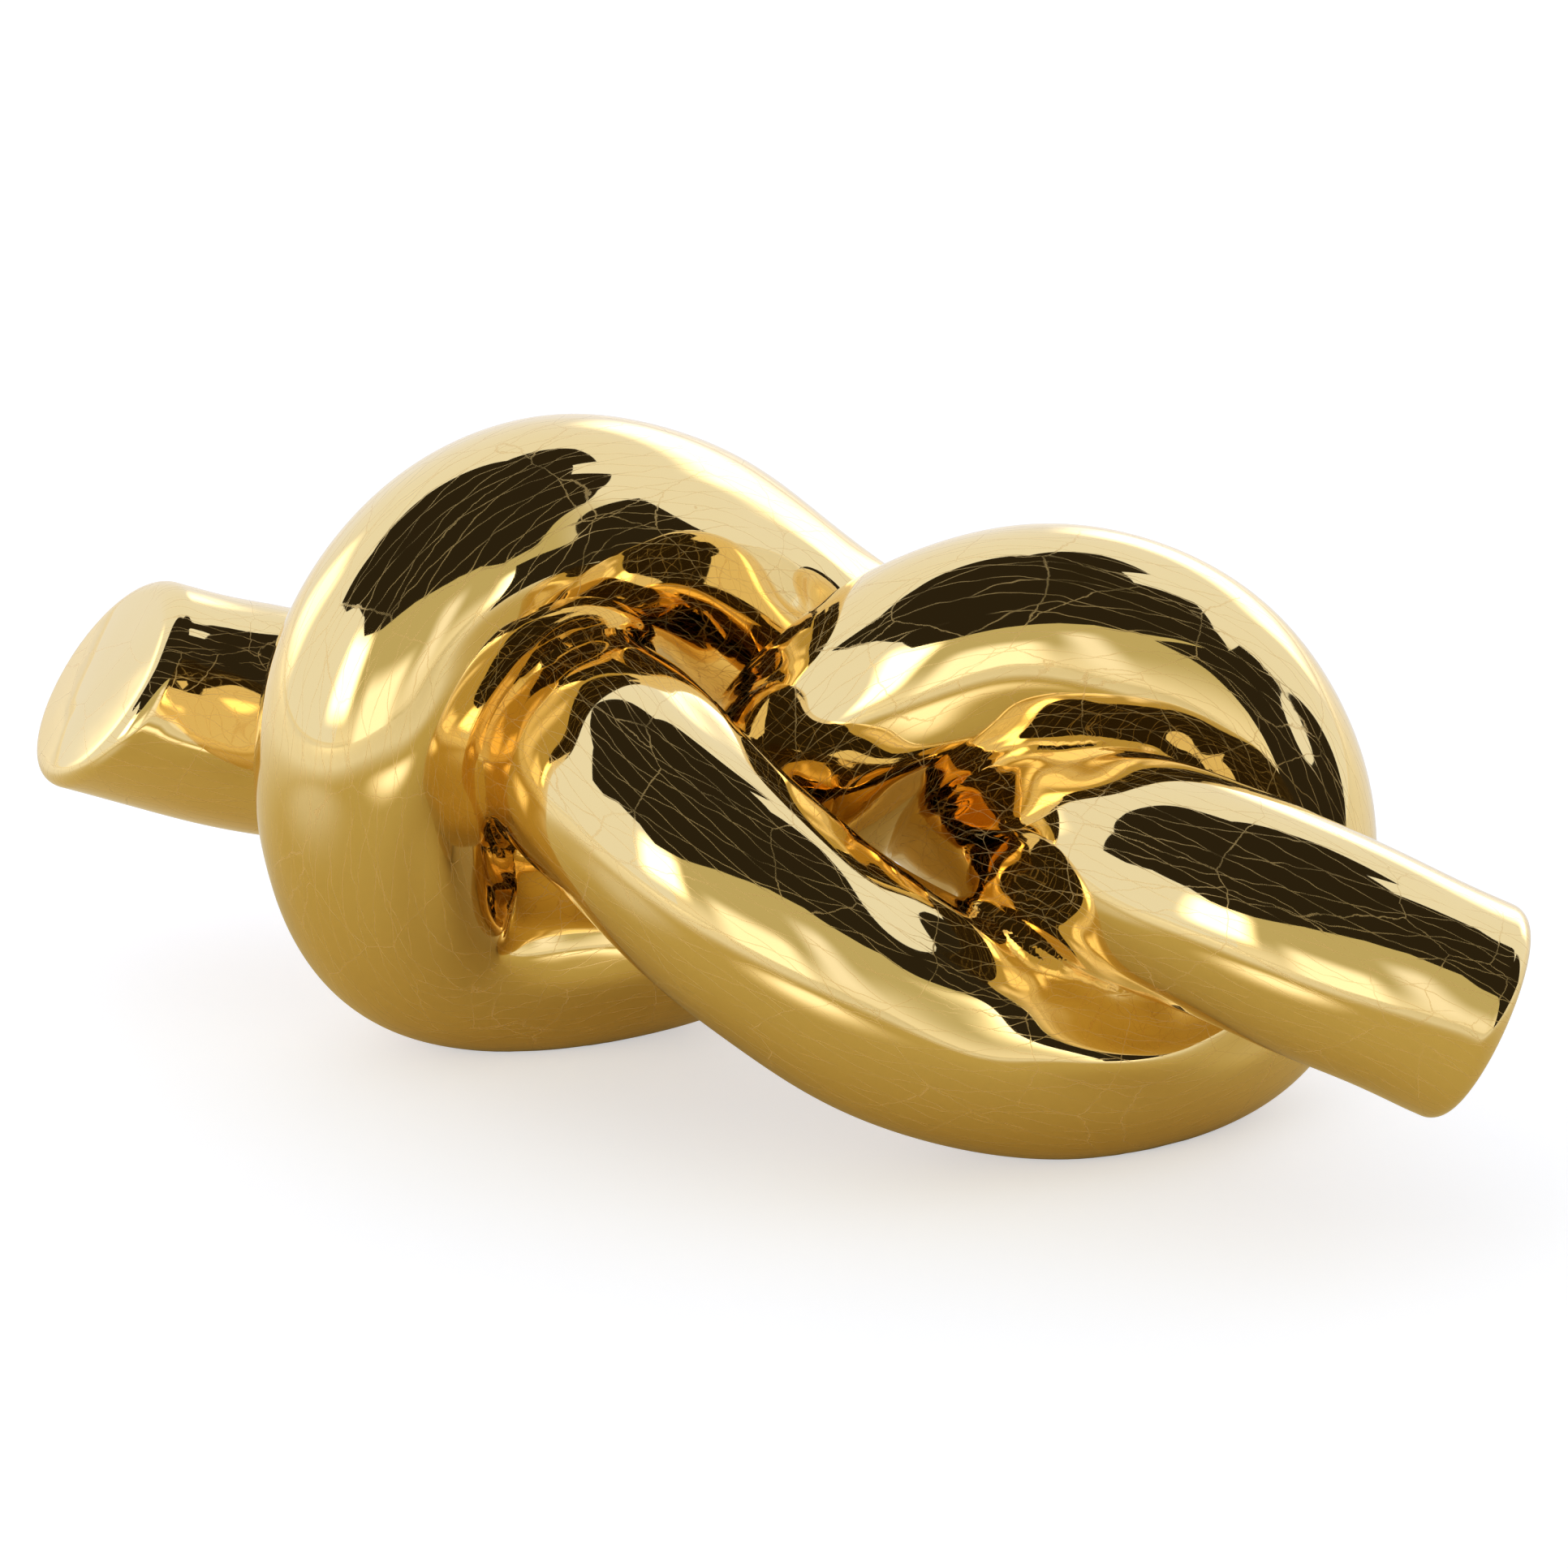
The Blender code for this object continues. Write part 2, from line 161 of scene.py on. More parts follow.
@dataclass
class RopeRoute:
    """The rope's middle line with a frame carried along it, in millimetres.

    The line is the natural cubic spline through the route points. It is moved so that the round rope's
    outline is centred over the origin and sinks by foot_depth into the plane that the feet are ground to.
    """

    diameter: float = 60.0
    foot_depth: float = 6.0
    foot_plane: float = 0.8
    sample_count: int = 960
    points: Array = field(init=False)
    knots: Array = field(init=False)
    samples: Array = field(init=False)
    sides: Array = field(init=False)

    def __post_init__(self) -> None:
        """Works out the spline's knots, the shift to the origin and the carried sides."""
        self.points = np.array(ROUTE, float) * self.diameter
        chords = np.linalg.norm(np.diff(self.points[:, :3], axis=0), axis=1)
        self.knots = np.concatenate([[0.0], np.cumsum(chords)])
        self.samples = np.linspace(0, self.length, self.sample_count)
        self.points[:, :3] += self.shift_to_origin()
        self.sides = self.carried_sides()

    @property
    def length(self) -> float:
        """The distance along the rope from tip to tip."""
        return float(self.knots[-1])

    def shift_to_origin(self) -> Array:
        """The move that centres the outline over the origin and sets the height of the feet.

        The outline reaches r * sqrt(1 - t²) from the middle line on each axis, for the tangent's share t.

        Returns:
            The move as x, y and z.
        """
        middle, radius, tangent = self.at(self.samples)
        reach = radius[:, None] * np.sqrt(np.clip(1 - tangent**2, 0, 1))
        low = (middle - reach).min(axis=0)
        high = (middle + reach).max(axis=0)
        centre = (low + high) / 2
        return np.array([-centre[0], -centre[1], self.foot_plane - self.foot_depth - low[2]])

    def at(self, along: Array) -> tuple[Array, Array, Array]:
        """The natural cubic spline through the route points, as value and slope.

        The bends are the second slopes at the points. They are zero at both tips, and elsewhere solve the
        equations that make the slopes of neighbouring spans agree. A span is the straight line between its
        points plus (u³ - u) h² / 6 times each end's bend, for a span h long and u from 0 to 1 towards it.

        Args:
            along: Distances along the rope.

        Returns:
            The middle, the radius and the unit tangent at each distance.
        """
        steps = np.diff(self.knots)
        inner = np.arange(1, len(self.points) - 1)
        matrix = np.eye(len(self.points))
        matrix[inner, inner - 1] = steps[:-1]
        matrix[inner, inner] = 2 * (steps[:-1] + steps[1:])
        matrix[inner, inner + 1] = steps[1:]
        slopes = np.diff(self.points, axis=0) / steps[:, None]
        right = np.zeros_like(self.points)
        right[inner] = 6 * np.diff(slopes, axis=0)
        bends = np.linalg.solve(matrix, right)
        span = np.clip(np.searchsorted(self.knots, along, side="right") - 1, 0, len(steps) - 1)
        width = steps[span][:, None]
        after = (np.asarray(along) - self.knots[span])[:, None] / width
        before = 1 - after
        value = before * self.points[span] + after * self.points[span + 1]
        value += ((before**3 - before) * bends[span] + (after**3 - after) * bends[span + 1]) * width**2 / 6
        turn = (3 * after**2 - 1) * bends[span + 1] - (3 * before**2 - 1) * bends[span]
        slope = slopes[span] + turn * width / 6
        return value[:, :3], value[:, 3] / 2, unit(slope[:, :3])

    def carried_sides(self) -> Array:
        """A side vector at each sample, turned only as far as the rope bends.

        Returns:
            Unit vectors, each the one before it made square to the new tangent.
        """
        tangents = self.at(self.samples)[2]
        sides = np.empty_like(tangents)
        side = np.cross(tangents[0], (0.0, 0.0, 1.0))
        for i, tangent in enumerate(tangents):
            side = unit(side - np.dot(side, tangent) * tangent)
            sides[i] = side
        return sides

    def frame(self, along: Array) -> tuple[Array, Array, Array, Array, Array]:
        """The rope's own frame.

        Args:
            along: Distances along the rope.

        Returns:
            The middle, radius, tangent, side and up vectors at each distance.
        """
        middle, radius, tangent = self.at(along)
        side = np.stack([np.interp(along, self.samples, self.sides[:, axis]) for axis in range(3)], axis=1)
        side = unit(side - np.sum(side * tangent, axis=1, keepdims=True) * tangent)
        return middle, radius, tangent, side, np.cross(side, tangent)

    def underside(self, start: float, end: float) -> float:
        """Finds where a stretch of the rope hangs lowest.

        Args:
            start: Where the stretch starts.
            end: Where it ends.

        Returns:
            The distance along the rope at which its underside is lowest.
        """
        along = self.samples[(self.samples > start) & (self.samples < end)]
        middle, radius, _ = self.at(along)
        return float(along[np.argmin(middle[:, 2] - radius)])


@dataclass(frozen=True)
class Waves:
    """A sum of waves over the skin, each with its own length along the rope, turns round it and start.

    The turns are whole numbers, so that the skin closes.
    """

    height: float
    lengths: tuple[float, float]
    turns: tuple[int, int]
    count: int
    seed: int
    both_ways: bool = False

    def heights(self, along: Array, angles: Array) -> Array:
        """How far the waves raise the skin: the sum of their sines times height / sqrt(count).

        Args:
            along: Distances along the rope.
            angles: Angles round it.

        Returns:
            Heights, rings by sides.
        """
        dice = np.random.default_rng(self.seed)
        lengths = dice.uniform(*self.lengths, self.count)
        turns = dice.integers(*self.turns, self.count)
        if self.both_ways:
            turns = turns * dice.choice([-1, 1], self.count)
        starts = dice.uniform(0, 2 * math.pi, self.count)
        phase = along[:, None, None] * (2 * math.pi / lengths) + angles[None, :, None] * turns + starts
        return self.height * np.sin(phase).sum(axis=2) / math.sqrt(self.count)


@dataclass
class GlazedSkin:
    """The outer skin of the whole rope, as one grid of rings and sides.

    A point of the skin is the middle of the rope plus a spoke. The spoke ends where the smooth minimum of
    the distances to this strand's surface and to the nearest other strand's surface is zero. That draws
    the two surfaces together in a rounded valley of glaze. Past the plane midway between two
    strands the spoke stops, so each strand closes inside the other. The ripple is that of clay smoothed by
    hand. The strokes are those of the fingers that pressed the strands together: long along the rope,
    short round it, and only near other strands.
    """

    route: RopeRoute
    sides: int = 160
    ring_step: float = 1.2
    inset: float = 0.4
    fillet: float = 3.0
    knee_fillet: float = 4.5
    knee_reach: float = 75.0
    knee_points: tuple[int, int, int] = (7, 10, 24)
    overlap: float = 1.5
    same_strand: float = 90.0
    ripple: Waves = Waves(0.2, lengths=(38.0, 120.0), turns=(-3, 4), count=8, seed=11)
    strokes: Waves = Waves(0.42, lengths=(55.0, 150.0), turns=(4, 12), count=10, seed=5, both_ways=True)
    stroke_span: float = 34.0
    core: float = 0.2
    search_margin: float = 3.0
    search_slack: float = 0.5
    search_steps: int = 20

    def knee_share(self, along: Array) -> Array:
        """How far each place along the rope takes part in the deep valley beside the right knee.

        The valley lies between the front strand's end, the right bight and the right knee. Each of the
        three stretches counts fully up to 0.6 of knee_reach from its route point, and fades out by 1.6 of it.

        Args:
            along: Distances along the rope.

        Returns:
            A share from 0 to 1 for each.
        """
        centres = self.route.knots[list(self.knee_points)]
        away = np.abs(np.asarray(along)[:, None] - centres[None]).min(axis=1)
        return smoothstep(1.6 - away / self.knee_reach)

    def pressed(self, place: float, middle: Array, outward: Array, reach: Array) -> Array:
        """How near other strands are to each point of a ring.

        Args:
            place: The ring's distance along the rope.
            middle: The ring's middle.
            outward: The spokes' unit vectors.
            reach: The spokes' lengths.

        Returns:
            A share for each spoke: 1 within half the stroke span, 0 beyond one and a half.
        """
        other, other_radius, _ = self.route.at(self.route.samples)
        others = np.abs(place - self.route.samples) > self.same_strand
        tips = middle + reach[:, None] * outward
        apart = np.linalg.norm(tips[:, None] - other[others][None], axis=2) - other_radius[others]
        return smoothstep(1.5 - apart.min(axis=1) / self.stroke_span)

    def grid(self, along: Array) -> tuple[Array, Array]:
        """The skin's points at the distances given.

        A point is its ring's middle plus the spoke's length times the unit vector cos a side + sin a up,
        for its angle a. Where that would sink below the plane of the feet, the spoke stops there.

        Args:
            along: Distances along the rope, one for each ring.

        Returns:
            Points as rings by sides by three, and the middle of each ring.
        """
        middle, radius, _, side, up = self.route.frame(along)
        angles = np.linspace(0, 2 * math.pi, self.sides, endpoint=False)
        outward = np.cos(angles)[None, :, None] * side[:, None] + np.sin(angles)[None, :, None] * up[:, None]
        reach = (radius - self.inset)[:, None] + self.ripple.heights(along, angles)
        softness = self.fillet + (self.knee_fillet - self.fillet) * self.knee_share(along)
        strokes = self.strokes.heights(along, angles)
        for ring, place in enumerate(along):
            reach[ring] += strokes[ring] * self.pressed(place, middle[ring], outward[ring], reach[ring])
            reach[ring] = self.spokes(
                place, middle[ring], radius[ring], outward[ring], reach[ring], softness[ring]
            )
        drop = -outward[:, :, 2]
        room = (middle[:, 2] - self.route.foot_plane)[:, None]
        ground = np.where(reach * drop > room, room / np.maximum(drop, 1e-9), reach)
        return middle[:, None] + ground[:, :, None] * outward, middle

    def spokes(
        self, place: float, middle: Array, radius: float, outward: Array, reach: Array, softness: float
    ) -> Array:
        """The lengths of one ring's spokes, drawn out or cut off where other strands come near.

        A spoke may reach the plane on which d² - r² is the same for this strand's ball and another's, and
        the overlap past it. Up to there its end is found by halving: where the smooth minimum is zero.

        Args:
            place: The ring's distance along the rope.
            middle: The ring's middle.
            radius: The rope's radius there.
            outward: The spokes' unit vectors.
            reach: The spokes' lengths on the free rope.
            softness: The width of the smooth minimum.

        Returns:
            The new lengths.
        """
        other, other_radius, other_tangent = self.route.at(self.route.samples)
        apart = np.linalg.norm(other - middle, axis=1)
        near = np.abs(place - self.route.samples) > self.same_strand
        near &= apart < radius + other_radius + softness + self.search_margin
        if not near.any():
            return reach
        other, other_tangent, apart = other[near], other_tangent[near], apart[near]
        other_radius = other_radius[near] - self.inset
        midway = apart / 2 + ((radius - self.inset) ** 2 - other_radius**2) / (2 * apart) + self.overlap
        slant = outward @ ((other - middle) / apart[:, None]).T
        limit = np.where(slant > 1e-3, midway[None] / np.maximum(slant, 1e-3), 1e9).min(axis=1)
        longest = np.minimum(limit, reach + softness / 4 + self.search_slack)

        def outside(lengths: Array) -> Array:
            """The smooth minimum of the two distances: min(a, b) - max(k - |a - b|, 0)² / 4k.

            Args:
                lengths: The length to try for each spoke.

            Returns:
                How far each spoke's tip is outside both surfaces, below 0 inside.
            """
            tips = middle + lengths[:, None] * outward
            away = tips[:, None] - other[None]
            closest = np.argmin((away**2).sum(axis=2), axis=1)
            away = away[np.arange(len(tips)), closest]
            tangent = other_tangent[closest]
            sideways = away - (away * tangent).sum(axis=1, keepdims=True) * tangent
            theirs = np.linalg.norm(sideways, axis=1) - other_radius[closest]
            ours = lengths - reach
            blend = np.maximum(softness - np.abs(ours - theirs), 0)
            return np.minimum(ours, theirs) - blend**2 / (4 * softness)

        stays_inside = outside(longest) < 0
        low = np.full_like(reach, self.core * radius)
        high = longest.copy()
        for _ in range(self.search_steps):
            half = (low + high) / 2
            inside = outside(half) < 0
            low = np.where(inside, half, low)
            high = np.where(inside, high, half)
        return np.where(stays_inside, longest, (low + high) / 2)


@dataclass(frozen=True)
class LongCracks:
    """Fine cracks that run along the rope at a slight slant, evenly spaced round it.

    The pattern counts whole lines round the rope, so that it closes, adds the slant along it and two
    noises, and draws a hairline wherever the sum passes a half. A third noise breaks the lines off.
    """

    lines_round: int
    slant: float
    width: float
    drift: float = 2.6
    drift_size: float = 60.0
    wobble: float = 0.16
    wobble_size: float = 5.0
    break_size: float = 14.0
    break_fade: tuple[float, float] = (0.28, 0.38)
    rope_round: float = 188.5

    def mask(self, tree: bpy.types.NodeTree, skin: bpy.types.NodeSocket) -> bpy.types.NodeSocket:
        """Adds the nodes of the cracks' pattern.

        Args:
            tree: The material's tree.
            skin: The skin's own coordinates.

        Returns:
            The socket that gives 1 in a crack and 0 beside it.
        """
        place = add_node(tree, "ShaderNodeSeparateXYZ", {0: skin})
        turn = add_node(
            tree, "ShaderNodeMath", {0: place.outputs["Y"], 1: place.outputs["X"]}, operation="ARCTAN2"
        )
        spacing = self.rope_round / self.lines_round
        a_turn = self.lines_round / (2 * math.pi)
        count = add_node(tree, "ShaderNodeMath", {0: turn.outputs[0], 1: a_turn}, operation="MULTIPLY")
        count = add_node(
            tree,
            "ShaderNodeMath",
            {0: place.outputs["Z"], 1: self.slant / spacing, 2: count.outputs[0]},
            operation="MULTIPLY_ADD",
        )
        for size, height in ((self.drift_size, self.drift), (self.wobble_size, self.wobble)):
            noise = add_node(tree, "ShaderNodeTexNoise", {"Vector": skin, "Scale": 1 / size, "Detail": 1.0})
            count = add_node(
                tree,
                "ShaderNodeMath",
                {0: noise.outputs["Fac"], 1: 2 * height, 2: count.outputs[0]},
                operation="MULTIPLY_ADD",
            )
        share = add_node(tree, "ShaderNodeMath", {0: count.outputs[0]}, operation="FRACT")
        away = add_node(tree, "ShaderNodeMath", {0: share.outputs[0], 1: 0.5}, operation="SUBTRACT")
        away = add_node(tree, "ShaderNodeMath", {0: away.outputs[0]}, operation="ABSOLUTE")
        whole, gone = (share * self.width / spacing for share in HAIRLINE_FADE)
        line = add_node(
            tree, "ShaderNodeMapRange", {"Value": away.outputs[0], "From Min": gone, "From Max": whole}
        )
        broken = add_node(
            tree,
            "ShaderNodeTexNoise",
            {"Vector": skin, "Scale": 1 / self.break_size, "Detail": 1.0, "Distortion": self.slant},
        )
        gone, whole = self.break_fade
        broken = add_node(
            tree, "ShaderNodeMapRange", {"Value": broken.outputs["Fac"], "From Min": gone, "From Max": whole}
        )
        kept = add_node(
            tree, "ShaderNodeMath", {0: line.outputs[0], 1: broken.outputs[0]}, operation="MULTIPLY"
        )
        return kept.outputs[0]


@dataclass(frozen=True)
class CrossCracks:
    """Fewer, ragged cracks in all directions: the edges of large cells, bent by a noise."""

    cell: float = 19.0
    stretch: float = 1.35
    width: float = 0.2
    wobble: float = 1.3
    wobble_size: float = 6.0

    def mask(self, tree: bpy.types.NodeTree, skin: bpy.types.NodeSocket) -> bpy.types.NodeSocket:
        """Adds the nodes of the cracks' pattern.

        Args:
            tree: The material's tree.
            skin: The skin's own coordinates.

        Returns:
            The socket that gives 1 in a crack and 0 beside it.
        """
        bend = add_node(
            tree,
            "ShaderNodeTexNoise",
            {"Vector": skin, "Scale": 1 / self.wobble_size, "Detail": 5.0, "Roughness": 0.6},
        )
        bend = add_node(
            tree, "ShaderNodeVectorMath", {0: bend.outputs["Color"], 1: (0.5, 0.5, 0.5)}, operation="SUBTRACT"
        )
        bent = add_node(
            tree,
            "ShaderNodeVectorMath",
            {0: bend.outputs[0], 1: (2 * self.wobble,) * 3, 2: skin},
            operation="MULTIPLY_ADD",
        )
        drawn = add_node(
            tree,
            "ShaderNodeVectorMath",
            {0: bent.outputs[0], 1: (1.0, 1.0, 1 / self.stretch)},
            operation="MULTIPLY",
        )
        cells = add_node(
            tree,
            "ShaderNodeTexVoronoi",
            {"Vector": drawn.outputs[0], "Scale": 1 / self.cell, "Randomness": 1.0},
            feature="DISTANCE_TO_EDGE",
        )
        whole, gone = (share * self.width / self.cell for share in HAIRLINE_FADE)
        line = add_node(
            tree,
            "ShaderNodeMapRange",
            {"Value": cells.outputs["Distance"], "From Min": gone, "From Max": whole},
        )
        return line.outputs[0]


@dataclass(frozen=True)
class GoldLustre:
    """Bright gold lustre fired over a clear glaze: a warm mirror with hairline cracks.

    The lustre is a film of metal some hundred nanometres thick, so the eye sees a mirror whose colour is
    the metal's own. The glaze under it crazed while cooling, in long fine lines along the rope and in
    fewer, ragged ones across it. In a crack the film is torn: part of it scatters light, so that it shows
    pale in a dark reflection and hardly at all in a golden one. The end discs have only ragged cracks.
    """

    gold: str = "#F0D18C"
    thin_gold: str = "#F2D796"
    polish: float = 0.03
    torn: str = "#EFCB84"
    torn_share: float = 0.33
    torn_roughness: float = 0.16
    long_cracks: LongCracks = LongCracks(lines_round=46, slant=0.05, width=0.2)
    slanting_cracks: LongCracks = LongCracks(lines_round=31, slant=-0.32, width=0.22)
    cross_cracks: CrossCracks = CrossCracks()
    patch_size: float = 7.0
    patch_fade: tuple[float, float] = (0.36, 0.56)
    patch_least: float = 0.5
    cloud_size: float = 45.0
    disc_edge: tuple[float, float] = (25.0, 28.0)
    pinhole_spacing: float = 34.0
    pinhole_width: float = 0.8
    pinhole_fade: tuple[float, float] = (0.35, 0.65)
    swell_height: float = 0.5
    swell_size: float = 26.0
    ripple_height: float = 0.05
    ripple_size: float = 8.0
    along_share: float = 0.45
    crack_depth: float = 0.003

    def tears(self, tree: bpy.types.NodeTree, skin: bpy.types.NodeSocket) -> bpy.types.NodeSocket:
        """How much of the film is torn: the three sets of cracks, stronger in patches, and the pinholes.

        Args:
            tree: The material's tree.
            skin: The skin's own coordinates.

        Returns:
            The socket that gives the torn share.
        """
        patchy = add_node(
            tree, "ShaderNodeTexNoise", {"Vector": skin, "Scale": 1 / self.patch_size, "Detail": 3.0}
        )
        low, high = self.patch_fade
        patchy = add_node(
            tree,
            "ShaderNodeMapRange",
            {"Value": patchy.outputs["Fac"], "From Min": low, "From Max": high, "To Min": self.patch_least},
        )
        spoke = add_node(tree, "ShaderNodeVectorMath", {0: skin, 1: (1.0, 1.0, 0.0)}, operation="MULTIPLY")
        spoke = add_node(tree, "ShaderNodeVectorMath", {0: spoke.outputs[0]}, operation="LENGTH")
        inner, outer = self.disc_edge
        tube = add_node(
            tree,
            "ShaderNodeMapRange",
            {"Value": spoke.outputs["Value"], "From Min": inner, "From Max": outer},
        )
        lines = self.cross_cracks.mask(tree, skin)
        for cracks in (self.long_cracks, self.slanting_cracks):
            along = add_node(
                tree, "ShaderNodeMath", {0: cracks.mask(tree, skin), 1: tube.outputs[0]}, operation="MULTIPLY"
            )
            lines = add_node(
                tree, "ShaderNodeMath", {0: along.outputs[0], 1: lines}, operation="MAXIMUM"
            ).outputs[0]
        lines = add_node(tree, "ShaderNodeMath", {0: lines, 1: patchy.outputs[0]}, operation="MULTIPLY")
        pits = add_node(tree, "ShaderNodeTexVoronoi", {"Vector": skin, "Scale": 1 / self.pinhole_spacing})
        whole, gone = (share * self.pinhole_width / self.pinhole_spacing for share in self.pinhole_fade)
        pit = add_node(
            tree,
            "ShaderNodeMapRange",
            {"Value": pits.outputs["Distance"], "From Min": gone, "From Max": whole},
        )
        torn = add_node(tree, "ShaderNodeMath", {0: lines.outputs[0], 1: pit.outputs[0]}, operation="MAXIMUM")
        return torn.outputs[0]

    def relief(
        self, tree: bpy.types.NodeTree, skin: bpy.types.NodeSocket, torn: bpy.types.NodeSocket
    ) -> bpy.types.NodeSocket:
        """The hand-smoothed swell and a finer ripple, drawn out along the rope, and the cracks' own depth.

        Args:
            tree: The material's tree.
            skin: The skin's own coordinates.
            torn: The torn share of the film.

        Returns:
            The socket that gives the bumped normal.
        """
        drawn = add_node(
            tree, "ShaderNodeVectorMath", {0: skin, 1: (1.0, 1.0, self.along_share)}, operation="MULTIPLY"
        ).outputs[0]
        swell = add_node(
            tree, "ShaderNodeTexNoise", {"Vector": drawn, "Scale": 1 / self.swell_size, "Detail": 0.6}
        )
        ripple = add_node(
            tree, "ShaderNodeTexNoise", {"Vector": drawn, "Scale": 1 / self.ripple_size, "Detail": 0.5}
        )
        height = add_node(
            tree,
            "ShaderNodeMath",
            {
                0: ripple.outputs["Fac"],
                1: self.ripple_height / self.swell_height,
                2: swell.outputs["Fac"],
            },
            operation="MULTIPLY_ADD",
        )
        height = add_node(
            tree,
            "ShaderNodeMath",
            {0: torn, 1: -self.crack_depth, 2: height.outputs[0]},
            operation="MULTIPLY_ADD",
        )
        return add_node(
            tree, "ShaderNodeBump", {"Height": height.outputs[0], "Distance": self.swell_height * MM}
        ).outputs[0]

    def material(self) -> bpy.types.Material:
        """Builds the material, whose patterns read the skin's own coordinates, stored in millimetres.

        Returns:
            The material.
        """
        material, tree = new_tree("gold_lustre_over_crazed_glaze")
        skin = add_node(tree, "ShaderNodeAttribute", attribute_name="skin_mm").outputs["Vector"]
        torn = self.tears(tree, skin)
        cloud = add_node(
            tree, "ShaderNodeTexNoise", {"Vector": skin, "Scale": 1 / self.cloud_size, "Detail": 3.0}
        )
        colour = add_node(
            tree,
            "ShaderNodeMix",
            {"Factor": cloud.outputs["Fac"], 6: linear(self.gold), 7: linear(self.thin_gold)},
            data_type="RGBA",
        )
        colour = add_node(
            tree,
            "ShaderNodeMix",
            {"Factor": torn, 6: colour.outputs[2], 7: linear(self.torn)},
            data_type="RGBA",
        )
        metal = add_node(
            tree, "ShaderNodeMapRange", {"Value": torn, "To Min": 1.0, "To Max": 1.0 - self.torn_share}
        )
        roughness = add_node(
            tree, "ShaderNodeMapRange", {"Value": torn, "To Min": self.polish, "To Max": self.torn_roughness}
        )
        shader = add_node(
            tree,
            "ShaderNodeBsdfPrincipled",
            {
                "Base Color": colour.outputs[2],
                "Metallic": metal.outputs[0],
                "Roughness": roughness.outputs[0],
                "Normal": self.relief(tree, skin, torn),
            },
        )
        add_node(tree, "ShaderNodeOutputMaterial", {"Surface": shader.outputs[0]})
        return material


@dataclass(frozen=True)
class GroundClay:
    """Bare stoneware where the feet were ground flat after firing: matt, buff and faintly gritty."""

    clay: str = "#C9B594"
    grog: str = "#8E7757"
    grit: float = 0.7
    relief: float = 0.1
    roughness: float = 0.85

    def material(self) -> bpy.types.Material:
        """Builds the material, with grit sized in millimetres on Object coordinates.

        Returns:
            The material.
        """
        material, tree = new_tree("ground_bare_stoneware")
        place = add_node(tree, "ShaderNodeTexCoord").outputs["Object"]
        grain = add_node(
            tree, "ShaderNodeTexNoise", {"Vector": place, "Scale": 1 / (self.grit * MM), "Detail": 4.0}
        )
        colour = add_node(
            tree,
            "ShaderNodeMix",
            {"Factor": grain.outputs["Fac"], 6: linear(self.clay), 7: linear(self.grog)},
            data_type="RGBA",
        )
        relief = add_node(
            tree, "ShaderNodeBump", {"Height": grain.outputs["Fac"], "Distance": self.relief * MM}
        )
        shader = add_node(
            tree,
            "ShaderNodeBsdfPrincipled",
            {"Base Color": colour.outputs[2], "Roughness": self.roughness, "Normal": relief.outputs[0]},
        )
        add_node(tree, "ShaderNodeOutputMaterial", {"Surface": shader.outputs[0]})
        return material


@dataclass(frozen=True)
class PressedFelt:
    """Brown wool felt: short matted fibres, quite matt, with a soft edge of light."""

    wool: str = "#3A2A1E"
    fibre: str = "#5C4633"
    fibre_width: float = 0.35
    relief: float = 0.2
    roughness: float = 0.95
    sheen: float = 0.3

    def material(self) -> bpy.types.Material:
        """Builds the material, with fibres as a distorted noise on Object coordinates.

        Returns:
            The material.
        """
        material, tree = new_tree("pressed_wool_felt")
        place = add_node(tree, "ShaderNodeTexCoord").outputs["Object"]
        fibres = add_node(
            tree,
            "ShaderNodeTexNoise",
            {"Vector": place, "Scale": 1 / (self.fibre_width * MM), "Detail": 6.0, "Distortion": 2.0},
        )
        colour = add_node(
            tree,
            "ShaderNodeMix",
            {"Factor": fibres.outputs["Fac"], 6: linear(self.wool), 7: linear(self.fibre)},
            data_type="RGBA",
        )
        relief = add_node(
            tree, "ShaderNodeBump", {"Height": fibres.outputs["Fac"], "Distance": self.relief * MM}
        )
        shader = add_node(
            tree,
            "ShaderNodeBsdfPrincipled",
            {
                "Base Color": colour.outputs[2],
                "Roughness": self.roughness,
                "Sheen Weight": self.sheen,
                "Normal": relief.outputs[0],
            },
        )
        add_node(tree, "ShaderNodeOutputMaterial", {"Surface": shader.outputs[0]})
        return material


@dataclass
class Mesh:
    """Points, faces and shading normals of one piece, in millimetres, on their way into Blender."""

    points: Array
    quads: Array
    triangles: Array
    normals: Array | None = None
    skin: Array | None = None

    def to_object(self, name: str, materials: list[bpy.types.Material]) -> bpy.types.Object:
        """Puts the arrays into a mesh with foreach_set and links an object at the origin.

        Args:
            name: The piece's name.
            materials: Its material slots.

        Returns:
            The object.
        """
        mesh = bpy.data.meshes.new(name)
        corners = np.concatenate([self.quads.ravel(), self.triangles.ravel()]).astype(np.int32)
        starts = np.arange(len(self.quads)) * 4
        later = 4 * len(self.quads) + np.arange(len(self.triangles)) * 3
        mesh.vertices.add(len(self.points))
        mesh.loops.add(len(corners))
        mesh.polygons.add(len(starts) + len(later))
        mesh.vertices.foreach_set("co", (self.points * MM).astype(np.float32).ravel())
        mesh.loops.foreach_set("vertex_index", corners)
        mesh.polygons.foreach_set("loop_start", np.concatenate([starts, later]).astype(np.int32))
        mesh.update(calc_edges=True)
        mesh.validate()
        mesh.shade_smooth()
        if self.skin is not None:
            layer = mesh.attributes.new("skin_mm", "FLOAT_VECTOR", "POINT")
            layer.data.foreach_set("vector", self.skin.astype(np.float32).ravel())
        if self.normals is not None:
            mesh.normals_split_custom_set_from_vertices(self.normals.tolist())
        for material in materials:
            mesh.materials.append(material)
        piece = bpy.data.objects.new(name, mesh)
        bpy.context.scene.collection.objects.link(piece)
        return piece


